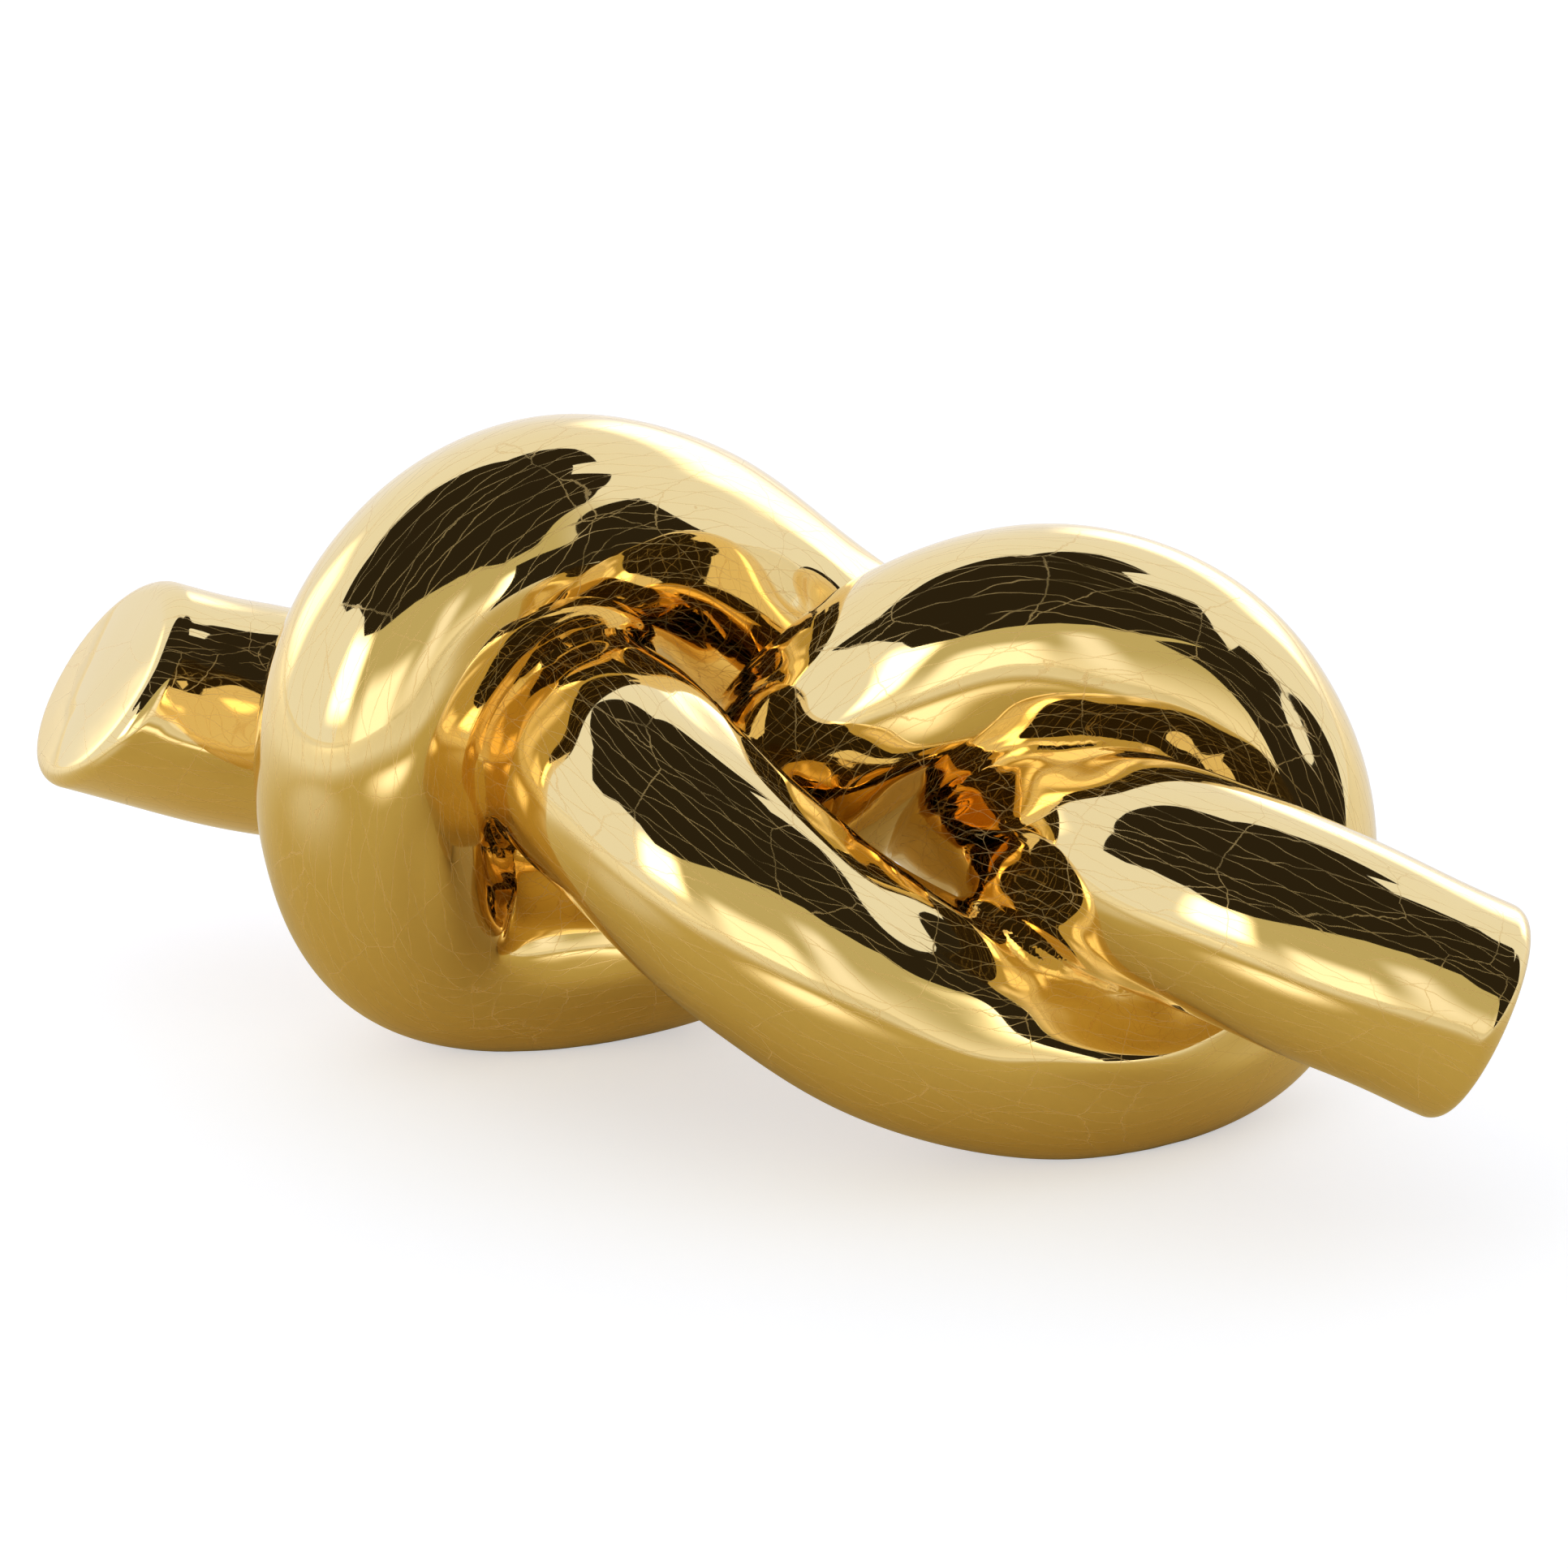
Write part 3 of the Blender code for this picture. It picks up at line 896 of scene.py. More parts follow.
def tube_faces(rings: int, sides: int) -> Array:
    """The quads between rings that are stored one after another.

    Args:
        rings: How many rings.
        sides: How many points each has.

    Returns:
        Four corners a face, facing out of a rope that runs from the first ring to the last.
    """
    ring = np.arange(rings - 1)[:, None] * sides
    turn = np.arange(sides)[None]
    after = (turn + 1) % sides
    faces = np.stack([ring + turn, ring + sides + turn, ring + sides + after, ring + after], axis=-1)
    return faces.reshape(-1, 4)


def fan_faces(ring: int, pole: int, sides: int, at_start: bool) -> Array:
    """The triangles that close one ring with a pole.

    Args:
        ring: The ring's first point.
        pole: The pole's point.
        sides: How many points the ring has.
        at_start: Whether they face back along the rope, as at its start, or on along it.

    Returns:
        Three corners a face.
    """
    turn = np.arange(sides)
    after = (turn + 1) % sides
    corners = [ring + turn, ring + after, np.full(sides, pole)]
    if not at_start:
        corners = [corners[1], corners[0], corners[2]]
    return np.stack(corners, axis=-1)


class End(enum.Enum):
    """How an end of a casting is closed."""

    UNDER_CROSSING = "flat, against the next casting, under a crossing strand"
    DISC = "by a crowned disc with a rounded rim"


@dataclass(frozen=True)
class EndDisc:
    """The disc that closes a mouth: straight sides, a rounded rim and a slightly crowned face."""

    seat: float = 2.1
    rim_straight: float = 2.0
    rounding: float = 5.0
    crown: float = 1.2
    wall_rises: tuple[float, float] = (0.7, 1.4)
    left_lean: float = math.radians(16)
    left_reach: float = 40.0
    rounding_steps: int = 12
    face_steps: int = 24

    @property
    def reach(self) -> float:
        """How far the disc stands out from the mouth."""
        return self.seat + self.rim_straight + self.rounding + self.crown

    def rings(self, section: Array, radius: float) -> tuple[Array, Array]:
        """The disc's rings from the mouth to near the pole.

        A ring is the mouth's own section times a share, raised along the rope. Over the rim the share
        follows 1 - r(1 - cos q) and the rise r sin q, and over the face the rise follows 1 - share².

        Args:
            section: The mouth's spokes, sides by three.
            radius: The rope's radius there.

        Returns:
            The rings' spokes, and the rise of each ring.
        """
        quarter = np.linspace(0, math.pi / 2, self.rounding_steps + 1)
        rim_share = 1 - self.rounding * (1 - np.cos(quarter)) / radius
        rim_rise = self.rim_straight + self.rounding * np.sin(quarter)
        face = np.linspace(1, 0, self.face_steps + 1)[1:-1]
        share = np.concatenate([[1.0, 1.0], rim_share, rim_share[-1] * face])
        rise = np.concatenate([self.wall_rises, rim_rise, rim_rise[-1] + self.crown * (1 - face**2)])
        return section[None] * share[:, None, None], self.seat + rise


@dataclass
class Casting:
    """One glazed casting, from one end to the other, with its share of the whole rope's skin."""

    name: str
    start: float
    end: float
    replaced: tuple[str, ...]
    start_kind: End = End.UNDER_CROSSING
    end_kind: End = End.UNDER_CROSSING
    disc: EndDisc = field(default_factory=EndDisc)
    rings_beyond: int = 3
    pole_rings: int = 3

    def lean_of_cut(self, route: RopeRoute, along: Array, points: Array, middle: Array) -> Array:
        """Slides rings near the left tip along the rope, so that the first one lies in the leaning cut.

        A point slides by its height over the rope's middle times the lean's tangent, less further in.

        Args:
            route: The rope's route.
            along: The rings' distances along it.
            points: The rings' points.
            middle: The rings' middles.

        Returns:
            The moved points.
        """
        tangent = route.at(along)[2]
        weight = np.clip(1 - (along - self.start) / self.disc.left_reach, 0, 1)
        top = unit(np.array([0.0, 0.0, 1.0]) - tangent[0, 2] * tangent[0])
        lean = (points - middle[:, None]) @ top * math.tan(self.disc.left_lean)
        return points + (weight[:, None] * lean)[:, :, None] * tangent[:, None]

    def build(self, skin: GlazedSkin, materials: list[bpy.types.Material]) -> bpy.types.Object:
        """Builds the casting's mesh, hangs it on the root body and hides the CAD nodes that it stands for.

        The grid starts and ends a few rings beyond each joint, so that the normals of the two castings
        agree there, and those rings are then left out.

        Args:
            skin: The whole rope's skin.
            materials: Gold first, then bare clay for what was ground flat.

        Returns:
            The finished piece.
        """
        route = skin.route
        steps = round((self.end - self.start) / skin.ring_step)
        step = (self.end - self.start) / steps
        beyond_start = 0 if self.start_kind is End.DISC else self.rings_beyond
        beyond_end = 0 if self.end_kind is End.DISC else self.rings_beyond
        along = self.start + step * np.arange(-beyond_start, steps + 1 + beyond_end)
        points, middle = skin.grid(along)
        if self.start_kind is End.DISC:
            points = self.lean_of_cut(route, along, points, middle)
            points, middle, along = self.with_disc(route, points, middle, along, at_start=True)
        if self.end_kind is End.DISC:
            points, middle, along = self.with_disc(route, points, middle, along, at_start=False)
        normals = self.grid_normals(points)
        keep = slice(beyond_start, len(points) - beyond_end)
        points, middle, along, normals = points[keep], middle[keep], along[keep], normals[keep]
        mesh = self.closed_mesh(points, middle, along, normals)
        piece = mesh.to_object(self.name, materials)
        self.mark_ground_faces(piece, route)
        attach(piece, "root")
        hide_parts(*self.replaced)
        return piece

    def with_disc(
        self, route: RopeRoute, points: Array, middle: Array, along: Array, at_start: bool
    ) -> tuple[Array, Array, Array]:
        """Adds the disc's rings before the first ring or after the last one.

        A ring's middle is the mouth's, moved out of the mouth along the rope by the ring's rise.

        Args:
            route: The rope's route.
            points: The rings' points.
            middle: The rings' middles.
            along: The rings' distances along the rope.
            at_start: Whether the disc closes the start or the end.

        Returns:
            Points, middles and distances with the disc's own.
        """
        mouth = 0 if at_start else -1
        _, radius, tangent = route.at(along[[mouth]])
        outward = -tangent[0] if at_start else tangent[0]
        spokes, rise = self.disc.rings(points[mouth] - middle[mouth], float(radius[0]))
        rings = middle[mouth] + spokes + (rise[:, None] * outward)[:, None]
        centres = middle[mouth] + rise[:, None] * outward
        places = along[mouth] + rise * (-1 if at_start else 1)
        pairs = ((rings, points), (centres, middle), (places, along))
        if at_start:
            return tuple(np.concatenate([added[::-1], had]) for added, had in pairs)
        return tuple(np.concatenate([had, added]) for added, had in pairs)

    @staticmethod
    def grid_normals(points: Array) -> Array:
        """The cross product of the differences along the rope and round it, pointing outwards.

        The points are first averaged twice with their neighbours, 1 : 2 : 1, which softens the valleys.

        Args:
            points: Rings by sides by three.

        Returns:
            The unit normals, in the same order.
        """
        for _ in range(2):
            points = (np.roll(points, -1, axis=1) + 2 * points + np.roll(points, 1, axis=1)) / 4
            points = np.concatenate(
                [points[:1], (points[2:] + 2 * points[1:-1] + points[:-2]) / 4, points[-1:]]
            )
        round_it = np.roll(points, -1, axis=1) - np.roll(points, 1, axis=1)
        along_it = np.empty_like(points)
        along_it[1:-1] = points[2:] - points[:-2]
        along_it[0] = points[1] - points[0]
        along_it[-1] = points[-1] - points[-2]
        normals = np.cross(along_it, round_it)
        middle = points.mean(axis=1, keepdims=True)
        facing = np.sign(((points - middle) * normals).sum(axis=(1, 2)).sum())
        return facing * normals / np.maximum(np.linalg.norm(normals, axis=2, keepdims=True), 1e-12)

    def closed_mesh(self, points: Array, middle: Array, along: Array, normals: Array) -> Mesh:
        """Closes both ends with a pole each, and stores the skin's own coordinates for the patterns.

        The skin's own x and y are the spoke's length times the cosine and sine of its angle, and its z is
        the distance along the rope.

        Args:
            points: The rings' points.
            middle: The rings' middles.
            along: The rings' distances along the rope.
            normals: The points' normals.

        Returns:
            The casting's mesh.
        """
        rings, sides = points.shape[:2]
        poles = np.stack([points[0].mean(axis=0), points[-1].mean(axis=0)])
        inward = self.pole_rings
        pole_normals = np.stack([middle[0] - middle[inward], middle[-1] - middle[-1 - inward]])
        for end, kind in ((0, self.start_kind), (-1, self.end_kind)):
            if kind is End.DISC:
                pole_normals[end] = normals[end].mean(axis=0)
        angles = np.linspace(0, 2 * math.pi, sides, endpoint=False)
        spoke = np.linalg.norm(points - middle[:, None], axis=2)
        place = np.broadcast_to(along[:, None], spoke.shape)
        mapped = np.stack([np.cos(angles) * spoke, np.sin(angles) * spoke, place], axis=2)
        pole_skin = np.array([[0.0, 0.0, along[0]], [0.0, 0.0, along[-1]]])
        first_pole = rings * sides
        first = fan_faces(0, first_pole, sides, at_start=True)
        last = fan_faces(first_pole - sides, first_pole + 1, sides, at_start=False)
        return Mesh(
            points=np.concatenate([points.reshape(-1, 3), poles]),
            quads=tube_faces(rings, sides),
            triangles=np.concatenate([first, last]),
            normals=np.concatenate([normals.reshape(-1, 3), unit(pole_normals)]),
            skin=np.concatenate([mapped.reshape(-1, 3), pole_skin]),
        )

    @staticmethod
    def mark_ground_faces(piece: bpy.types.Object, route: RopeRoute, slack: float = 0.02) -> None:
        """Gives the second material to the faces that lie in the plane the feet were ground to.

        Args:
            piece: The casting.
            route: The rope's route, which holds the plane's height.
            slack: How far above the plane a face's centre may lie.
        """
        mesh = piece.data
        centres = np.empty(len(mesh.polygons) * 3, np.float32)
        mesh.polygons.foreach_get("center", centres)
        ground = centres.reshape(-1, 3)[:, 2] < (route.foot_plane + slack) * MM
        mesh.polygons.foreach_set("material_index", ground.astype(np.int32))


@dataclass
class FeltPad:
    """One round felt pad, with a softened lower edge, in its recess in a ground foot."""

    name: str
    centre: tuple[float, float]
    diameter: float = 14.0
    thickness: float = 1.5
    edge: float = 0.45
    sides: int = 72
    edge_steps: int = 6
    face_steps: int = 10

    def build(self, material: bpy.types.Material) -> bpy.types.Object:
        """Turns the pad's profile round its axis: a face, a rounded lower edge, a wall and a top.

        The edge follows radius - e(1 - cos q) and height e(1 - sin q), for q from a quarter turn to 0.

        Args:
            material: The felt.

        Returns:
            The finished pad.
        """
        radius = self.diameter / 2
        quarter = np.linspace(math.pi / 2, 0, self.edge_steps + 1)
        face = np.linspace(0, 1, self.face_steps + 1)[1:-1] * (radius - self.edge)
        out = np.concatenate([face, radius - self.edge * (1 - np.cos(quarter)), [radius], face[::-1]])
        up = np.concatenate(
            [
                np.zeros_like(face),
                self.edge * (1 - np.sin(quarter)),
                [self.thickness],
                np.full_like(face, self.thickness),
            ]
        )
        angles = np.linspace(0, 2 * math.pi, self.sides, endpoint=False)
        x = self.centre[0] + out[:, None] * np.cos(angles)
        y = self.centre[1] + out[:, None] * np.sin(angles)
        points = np.stack([x, y, np.broadcast_to(up[:, None], x.shape)], axis=2)
        rings = len(out)
        poles = np.array([[*self.centre, 0.0], [*self.centre, self.thickness]])
        first_pole = rings * self.sides
        below = fan_faces(0, first_pole, self.sides, at_start=True)
        above = fan_faces(first_pole - self.sides, first_pole + 1, self.sides, at_start=False)
        mesh = Mesh(
            points=np.concatenate([points.reshape(-1, 3), poles]),
            quads=tube_faces(rings, self.sides)[:, ::-1],
            triangles=np.concatenate([below, above])[:, ::-1],
        )
        piece = mesh.to_object(self.name, [material])
        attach(piece, "root")
        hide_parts(self.name.removeprefix("soft_"))
        return piece


@dataclass
class KnotSculpture:
    """The whole knot: five castings with one continuous skin, and two felt pads under each foot."""

    skin: GlazedSkin
    disc: EndDisc = field(default_factory=EndDisc)
    joint_points: tuple[int, int, int, int] = (2, 9, 13, 21)
    pad_spread: float = 36.0

    def joints(self) -> Array:
        """How far along the rope the left end, front, middle and back joints lie."""
        return self.skin.route.knots[list(self.joint_points)]

    def castings(self) -> list[Casting]:
        """The five castings, each with the CAD nodes that it stands for.

        Returns:
            The castings in the rope's order, from the left tip.
        """
        left_end, front, middle, back = self.joints()
        return [
            Casting(
                "left_end_tube_glazed",
                self.disc.reach,
                left_end,
                ("left_end_tube", "left_end_disc", "left_disc_slip_joint", "left_end_slip_joint"),
                start_kind=End.DISC,
                disc=self.disc,
            ),
            Casting("front_strand_glazed", left_end, front, ("front_strand", "front_slip_joint")),
            Casting("right_bight_glazed", front, middle, ("right_bight", "middle_slip_joint")),
            Casting("left_bight_glazed", middle, back, ("left_bight", "back_slip_joint")),
            Casting(
                "right_end_tube_glazed",
                back,
                self.skin.route.length - self.disc.reach,
                ("right_end_tube", "right_end_disc", "right_disc_slip_joint"),
                end_kind=End.DISC,
                disc=self.disc,
            ),
        ]

    def pads(self) -> list[FeltPad]:
        """The four felt pads, either side of the lowest place of each foot, where the CAD ones are.

        Returns:
            The left foot's pads, then the right foot's.
        """
        route = self.skin.route
        left_end, front, middle, back = self.joints()
        found = []
        for side, start, end in (("left", middle, back), ("right", left_end, front)):
            lowest = route.underside(start, end)
            centres = route.at(np.array([lowest - self.pad_spread / 2, lowest + self.pad_spread / 2]))[0]
            left_to_right = centres[np.argsort(centres[:, 0])]
            for place, centre in zip(("left", "right"), left_to_right):
                name = f"soft_{side}_foot_{place}_felt_pad"
                found.append(FeltPad(name, (float(centre[0]), float(centre[1]))))
        return found

    def build(self) -> list[bpy.types.Object]:
        """Builds and dresses every piece.

        Returns:
            The pieces.
        """
        gold = GoldLustre().material()
        clay = GroundClay().material()
        felt = PressedFelt().material()
        built = [casting.build(self.skin, [gold, clay]) for casting in self.castings()]
        built += [pad.build(felt) for pad in self.pads()]
        return built


@dataclass(frozen=True)
class PhotoCamera:
    """The photograph's viewpoint, a little above the knot and to its right, through a long lens."""

    aim: tuple[float, float, float] = (-4.818, -5.223, 79.063)
    toward: tuple[float, float, float] = (0.3656, -0.8211, 0.4384)
    level_right: tuple[float, float, float] = (0.9135, 0.4067, 0.0)
    distance: float = 4000.0
    frame_width: float = 402.5
    sensor: float = 36.0

    def axes(self) -> tuple[Vector, Vector, Vector]:
        """Squares the level direction up with the view.

        Returns:
            The camera's right, up and backward unit vectors.
        """
        back = Vector(self.toward).normalized()
        right = Vector(self.level_right)
        right = (right - right.dot(back) * back).normalized()
        return right, back.cross(right), back

    def build(self) -> bpy.types.Object:
        """Makes the camera and sets it as the scene's own.

        Returns:
            The camera.
        """
        right, up, back = self.axes()
        data = bpy.data.cameras.new("photo_camera")
        data.sensor_width = self.sensor
        data.lens = self.sensor * self.distance / self.frame_width
        data.clip_end = 100
        camera = bpy.data.objects.new("photo_camera", data)
        turn = Matrix((right, up, back)).transposed().to_4x4()
        camera.matrix_world = Matrix.Translation((Vector(self.aim) + back * self.distance) * MM) @ turn
        bpy.context.scene.collection.objects.link(camera)
        bpy.context.scene.camera = camera
        return camera


@dataclass(frozen=True)
class Panel:
    """A softbox, wall or cloth that curves round the knot and fills a range of angles, in degrees.

    Azimuth 0 is towards the camera and grows to the right of the picture. A feather fades its edges.
    """

    name: str
    azimuth: tuple[float, float]
    elevation: tuple[float, float]
    distance: float
    colour: str = "#FFFFFF"
    strength: float = 1.0
    feather: float = 0.0


@dataclass(frozen=True)
class PaintedPool:
    """A painted pool of softbox light on the floor, in metres, fading from the inner to the outer reach."""

    middle: tuple[float, float, float]
    inner: float
    outer: float
    share: float
    glow: float


@dataclass
class Studio:
    """The plain studio: a pale floor, pale walls, a black cloth overhead and a few softboxes.

    The gold mirrors the black cloth as its dark bands. A bay in the cloth's edge and a black flag that
    stands beside the knot leave a pale window between them, which cuts each band near its right end.
    """

    camera: PhotoCamera
    centre: tuple[float, float, float] = (0.0, 0.0, 90.0)
    panel_grid: tuple[int, int] = (41, 21)
    cloth_grid: tuple[int, int] = (361, 16)
    floor_half: float = 4.0
    # Painted shade and painted gold bounce light: near the knot the floor's colour turns darker and warmer,
    # fading out to the far pale colour over the reach given.
    near_shade_and_bounce: str = "#CAB77A"
    floor_far: str = "#F4F2EE"
    shade_middle: tuple[float, float, float] = (0.06, -0.2, 0.0)
    shade_depth: float = 1.6
    shade_reach: tuple[float, float] = (0.25, 0.75)
    # Painted pools of softbox light: each pales the floor's colour and adds a glow that only the gold sees.
    painted_pools: tuple[PaintedPool, ...] = (
        PaintedPool((-0.2, -0.25, 0.0), 0.03, 0.15, 0.5, 0.0),
        PaintedPool((0.1, -0.28, 0.0), 0.02, 0.12, 0.9, 0.8),
    )
    floor_seen: str = "#CFCFCF"
    floor_lift: float = 0.8
    mirrored_lift: float = 0.04
    # The black cloth and flag glow faintly at this colour: painted dim light on the velvet, which nothing
    # lights.
    velvet_glow: str = "#2D2820"
    cloth_distance: float = 1500.0
    flag: Panel = Panel("black_flag", (46, 87), (-6, 28), 520.0)
    cloth_edge: tuple[tuple[float, float], ...] = (
        (-180, 62),
        (-160, 58),
        (-140, 54),
        (-120, 50),
        (-100, 43),
        (-88, 29),
        (-78, 30),
        (-70, 35),
        (-55, 34),
        (-45, 29),
        (-30, 31),
        (-10, 38),
        (5, 41),
        (15, 42),
        (30, 40),
        (45, 31),
        (60, 28),
        (75, 30),
        (86, 38),
        (108, 44),
        (109, 58),
        (124, 58),
        (126, 50),
        (150, 51),
        (165, 56),
        (180, 62),
    )
    panels: tuple[Panel, ...] = (
        Panel("key_softbox", (-58, -30), (3, 33), 2000.0, "#FFFFFF", 3.8, 9.0),
        Panel("fill_softbox", (-27, 8), (-10, 20), 2000.0, "#F6F8FF", 1.6, 9.0),
        Panel("streak_softbox", (8, 30), (-4, 34), 2000.0, "#F0F3FF", 1.3, 10.0),
        Panel("strip_softbox", (42, 60), (-6, 22), 1400.0, "#F8FAFF", 3.2, 8.0),
        Panel("left_softbox", (-134, -104), (-3, 30), 2000.0, "#FFFFFF", 2.6, 11.0),
        Panel("back_softbox", (122, 178), (-2, 28), 2000.0, "#F8FAFF", 3.2, 12.0),
        Panel("front_wall", (-50, 84), (-1, 70), 2600.0, "#CDC8A6", 0.96, 18.0),
        Panel("left_wall", (-181, -40), (-1, 70), 2700.0, "#E0E8FF", 1.26),
        Panel("right_wall", (60, 181), (-1, 70), 2700.0, "#E0E8FF", 1.26),
    )

    def direction(self, azimuth: Array, elevation: Array) -> Array:
        """Turns angles into directions: cos e (cos a front + sin a right) + sin e up.

        Args:
            azimuth: Angles from the camera, to the right, in degrees.
            elevation: Angles above the level, in degrees.

        Returns:
            Unit vectors.
        """
        toward = np.array(self.camera.toward)
        front = unit(np.array([toward[0], toward[1], 0.0]))
        right = np.array([-front[1], front[0], 0.0])
        turn, rise = np.radians(azimuth)[..., None], np.radians(elevation)[..., None]
        level = np.cos(turn) * front + np.sin(turn) * right
        return np.cos(rise) * level + np.sin(rise) * np.array([0.0, 0.0, 1.0])

    def sheet(self, name: str, points: Array, material: bpy.types.Material) -> bpy.types.Object:
        """Links a grid of points in millimetres as part of the stage, unseen by the camera.

        Args:
            name: The object's name.
            points: Rows by columns by three.
            material: Its material, which may read the UV map: columns run along U, rows along V.

        Returns:
            The object.
        """
        rows, columns = points.shape[:2]
        corner = np.arange((rows - 1) * columns).reshape(rows - 1, columns)[:, :-1]
        faces = np.stack([corner, corner + 1, corner + columns + 1, corner + columns], axis=-1).reshape(-1, 4)
        mesh = bpy.data.meshes.new(name)
        mesh.from_pydata((points.reshape(-1, 3) * MM).tolist(), [], faces.tolist())
        shares = np.meshgrid(np.linspace(0, 1, columns), np.linspace(0, 1, rows))
        place = np.stack(shares, axis=-1).reshape(-1, 2)
        layer = mesh.uv_layers.new(name="UVMap")
        layer.data.foreach_set("uv", place[faces.ravel()].astype(np.float32).ravel())
        mesh.shade_smooth()
        mesh.materials.append(material)
        sheet = bpy.data.objects.new(name, mesh)
        bpy.context.scene.collection.objects.link(sheet)
        sheet.visible_camera = False
        return sheet

    def curved(self, panel: Panel, material: bpy.types.Material) -> bpy.types.Object:
        """Builds a panel as a patch of a sphere: the centre plus its distance times each direction.

        Args:
            panel: Its angles and distance.
            material: What it is made of.

        Returns:
            The object.
        """
        columns, rows = self.panel_grid
        azimuth, elevation = np.meshgrid(
            np.linspace(*panel.azimuth, columns), np.linspace(*panel.elevation, rows)
        )
        points = np.array(self.centre) + panel.distance * self.direction(azimuth, elevation)
        return self.sheet(panel.name, points, material)

    def glow(self, panel: Panel) -> bpy.types.Material:
        """An even sheet of light, which fades out over the feather at each edge.

        Args:
            panel: Its colour, strength, angles and feather.

        Returns:
            The material.
        """
        material, tree = new_tree(panel.name)
        light = add_node(
            tree, "ShaderNodeEmission", {"Color": linear(panel.colour), "Strength": panel.strength}
        )
        surface = light.outputs[0]
        if panel.feather:
            place = add_node(tree, "ShaderNodeUVMap", uv_map="UVMap").outputs[0]
            place = add_node(tree, "ShaderNodeSeparateXYZ", {0: place})
            shown = 1.0
            for axis, span in (("X", panel.azimuth), ("Y", panel.elevation)):
                share = panel.feather / (span[1] - span[0])
                for edge, inside in ((0.0, share), (1.0, 1.0 - share)):
                    fade = add_node(
                        tree,
                        "ShaderNodeMapRange",
                        {"Value": place.outputs[axis], "From Min": edge, "From Max": inside},
                        interpolation_type="SMOOTHSTEP",
                    )
                    shown = add_node(
                        tree, "ShaderNodeMath", {0: fade.outputs[0], 1: shown}, operation="MULTIPLY"
                    ).outputs[0]
            nothing = add_node(tree, "ShaderNodeBsdfTransparent")
            surface = add_node(
                tree, "ShaderNodeMixShader", {0: shown, 1: nothing.outputs[0], 2: surface}
            ).outputs[0]
        add_node(tree, "ShaderNodeOutputMaterial", {"Surface": surface})
        return material

    def cloths(self) -> None:
        """The black velvet overhead, from its edge up to the zenith, and the flag beside the knot.

        Only the gold sees them, glowing faintly at the velvet's own dim colour, which is painted light: the
        light that falls on the floor stays even.
        """
        material, tree = new_tree("black_velvet")
        # Painted dim light: the velvet glows at its own dim colour instead of being lit.
        velvet_glow = add_node(tree, "ShaderNodeEmission", {"Color": linear(self.velvet_glow)})
        add_node(tree, "ShaderNodeOutputMaterial", {"Surface": velvet_glow.outputs[0]})
        corners = np.array(self.cloth_edge, float)
        columns, rows = self.cloth_grid
        turn = np.linspace(-180, 180, columns)
        edge = np.interp(turn, corners[:, 0], corners[:, 1])
        rise = np.linspace(0, 1, rows)[:, None]
        azimuth, elevation = np.broadcast_to(turn, (rows, columns)), edge + (90 - edge) * rise
        overhead = np.array(self.centre) + self.cloth_distance * self.direction(azimuth, elevation)
        for cloth in (self.sheet("black_cloth", overhead, material), self.curved(self.flag, material)):
            cloth.visible_diffuse = False

    def floor(self) -> bpy.types.Object:
        """A pale floor with painted shade and painted gold bounce light in front of the knot, darker and
        warmer there, but for painted pools of softbox light; only the gold mirrors these.

        The camera sees it as white with the knot's shadow.

        Returns:
            The object.
        """
        material, tree = new_tree("pale_floor")
        seen = add_node(tree, "ShaderNodeLightPath")
        place = add_node(tree, "ShaderNodeTexCoord").outputs["Object"]
        # Painted shade and painted gold bounce light: the floor's colour darkens and warms towards the knot,
        # in an ellipse stretched front to back.
        away = add_node(tree, "ShaderNodeVectorMath", {0: place, 1: self.shade_middle}, operation="SUBTRACT")
        away = add_node(
            tree,
            "ShaderNodeVectorMath",
            {0: away.outputs[0], 1: (1.0, self.shade_depth, 1.0)},
            operation="MULTIPLY",
        )
        away = add_node(tree, "ShaderNodeVectorMath", {0: away.outputs[0]}, operation="LENGTH")
        near, far = self.shade_reach
        paleness = add_node(
            tree,
            "ShaderNodeMapRange",
            {"Value": away.outputs["Value"], "From Min": near, "From Max": far},
            interpolation_type="SMOOTHSTEP",
        ).outputs[0]
        glow = self.mirrored_lift
        # Painted pools of softbox light: each pale patch and its glow stand in for light falling on the
        # floor.
        for pool in self.painted_pools:
            away = add_node(tree, "ShaderNodeVectorMath", {0: place, 1: pool.middle}, operation="DISTANCE")
            lit = add_node(
                tree,
                "ShaderNodeMapRange",
                {"Value": away.outputs["Value"], "From Min": pool.outer, "From Max": pool.inner},
                interpolation_type="SMOOTHSTEP",
            ).outputs[0]
            paleness = add_node(
                tree, "ShaderNodeMath", {0: lit, 1: pool.share, 2: paleness}, operation="MULTIPLY_ADD"
            ).outputs[0]
            glow = add_node(
                tree, "ShaderNodeMath", {0: lit, 1: pool.glow, 2: glow}, operation="MULTIPLY_ADD"
            ).outputs[0]
        tint = add_node(
            tree,
            "ShaderNodeMix",
            {"Factor": paleness, 6: linear(self.near_shade_and_bounce), 7: linear(self.floor_far)},
            data_type="RGBA",
        )
        tint = add_node(
            tree,
            "ShaderNodeMix",
            {"Factor": seen.outputs["Is Camera Ray"], 6: tint.outputs[2], 7: linear(self.floor_seen)},
            data_type="RGBA",
        )
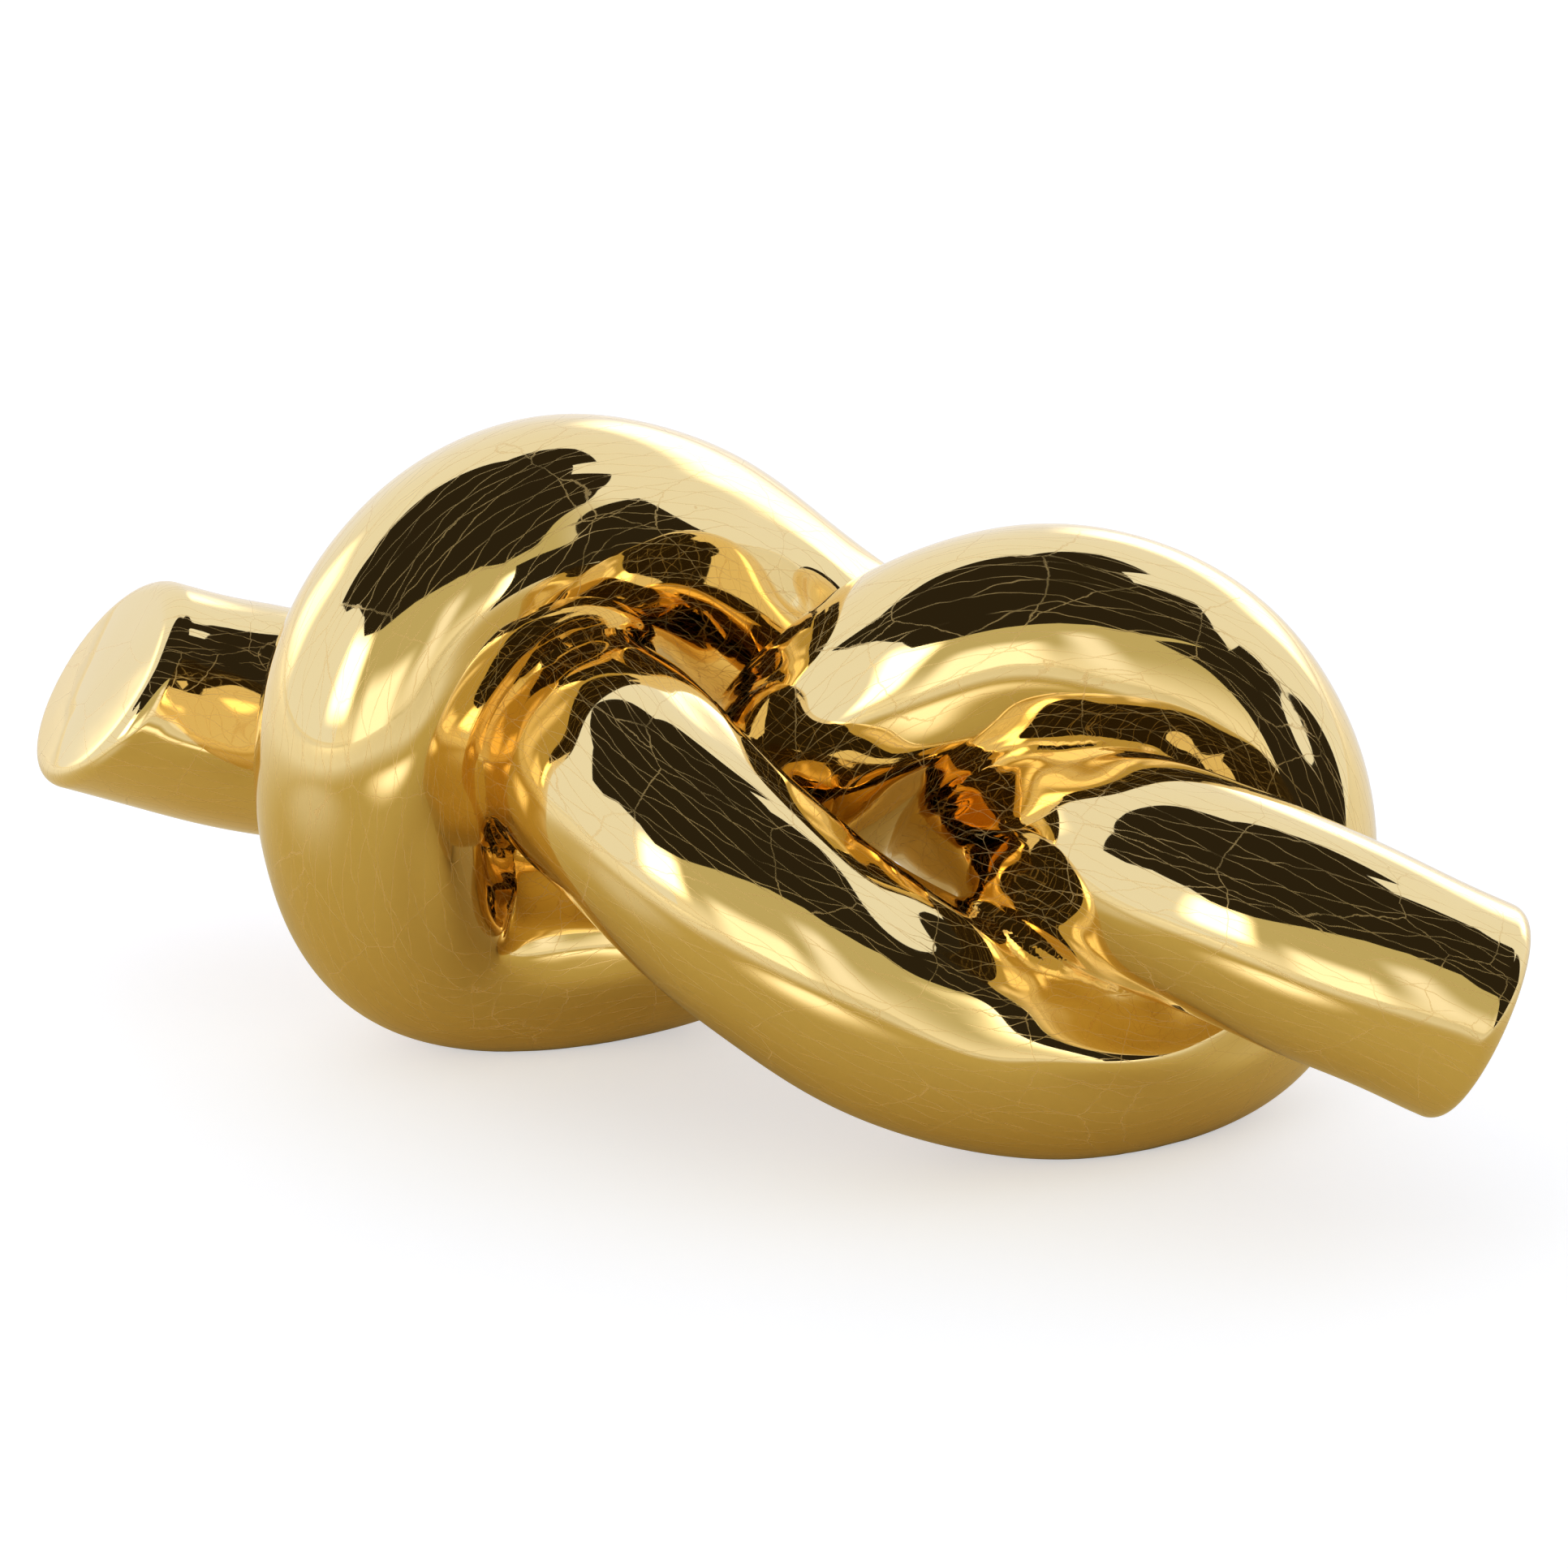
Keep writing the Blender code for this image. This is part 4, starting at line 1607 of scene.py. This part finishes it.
        paper = add_node(tree, "ShaderNodeBsdfDiffuse", {"Color": tint.outputs[2]})
        mirrored = add_node(
            tree,
            "ShaderNodeMath",
            {0: seen.outputs["Is Glossy Ray"], 1: seen.outputs["Is Transmission Ray"]},
            operation="ADD",
        )
        mirrored = add_node(tree, "ShaderNodeMath", {0: mirrored.outputs[0], 1: glow}, operation="MULTIPLY")
        lift = add_node(
            tree,
            "ShaderNodeMath",
            {0: seen.outputs["Is Camera Ray"], 1: self.floor_lift, 2: mirrored.outputs[0]},
            operation="MULTIPLY_ADD",
        )
        white = add_node(tree, "ShaderNodeEmission", {"Color": tint.outputs[2], "Strength": lift.outputs[0]})
        both = add_node(tree, "ShaderNodeAddShader", {0: paper.outputs[0], 1: white.outputs[0]})
        add_node(tree, "ShaderNodeOutputMaterial", {"Surface": both.outputs[0]})
        half = self.floor_half / MM
        x, y = np.meshgrid([-half, half], [-half, half])
        floor = self.sheet("floor", np.stack([x, y, np.zeros_like(x)], axis=-1), material)
        floor.visible_camera = True
        return floor

    def world(self) -> None:
        """A white backdrop all round, seen by camera and by gold alike, at the same level as it lights."""
        world = bpy.data.worlds.new("white_backdrop")
        world.use_nodes = True
        tree = world.node_tree
        tree.nodes.clear()
        light = add_node(tree, "ShaderNodeBackground", {"Color": (1, 1, 1, 1), "Strength": 1.0})
        add_node(tree, "ShaderNodeOutputWorld", {"Surface": light.outputs[0]})
        bpy.context.scene.world = world

    def build(self) -> None:
        """Builds the world, the floor, the cloths and every panel."""
        self.world()
        self.floor()
        self.cloths()
        for panel in self.panels:
            self.curved(panel, self.glow(panel))


def main() -> None:
    """Builds the camera, the studio and the knot, and reports each piece."""
    logging.basicConfig(level=logging.INFO, format="%(message)s")
    bpy.context.scene.view_settings.view_transform = "Standard"
    camera = PhotoCamera()
    camera.build()
    Studio(camera).build()
    for piece in KnotSculpture(GlazedSkin(RopeRoute())).build():
        LOG.info("%s: %d faces", piece.name, len(piece.data.polygons))


if __name__ == "__main__":
    main()
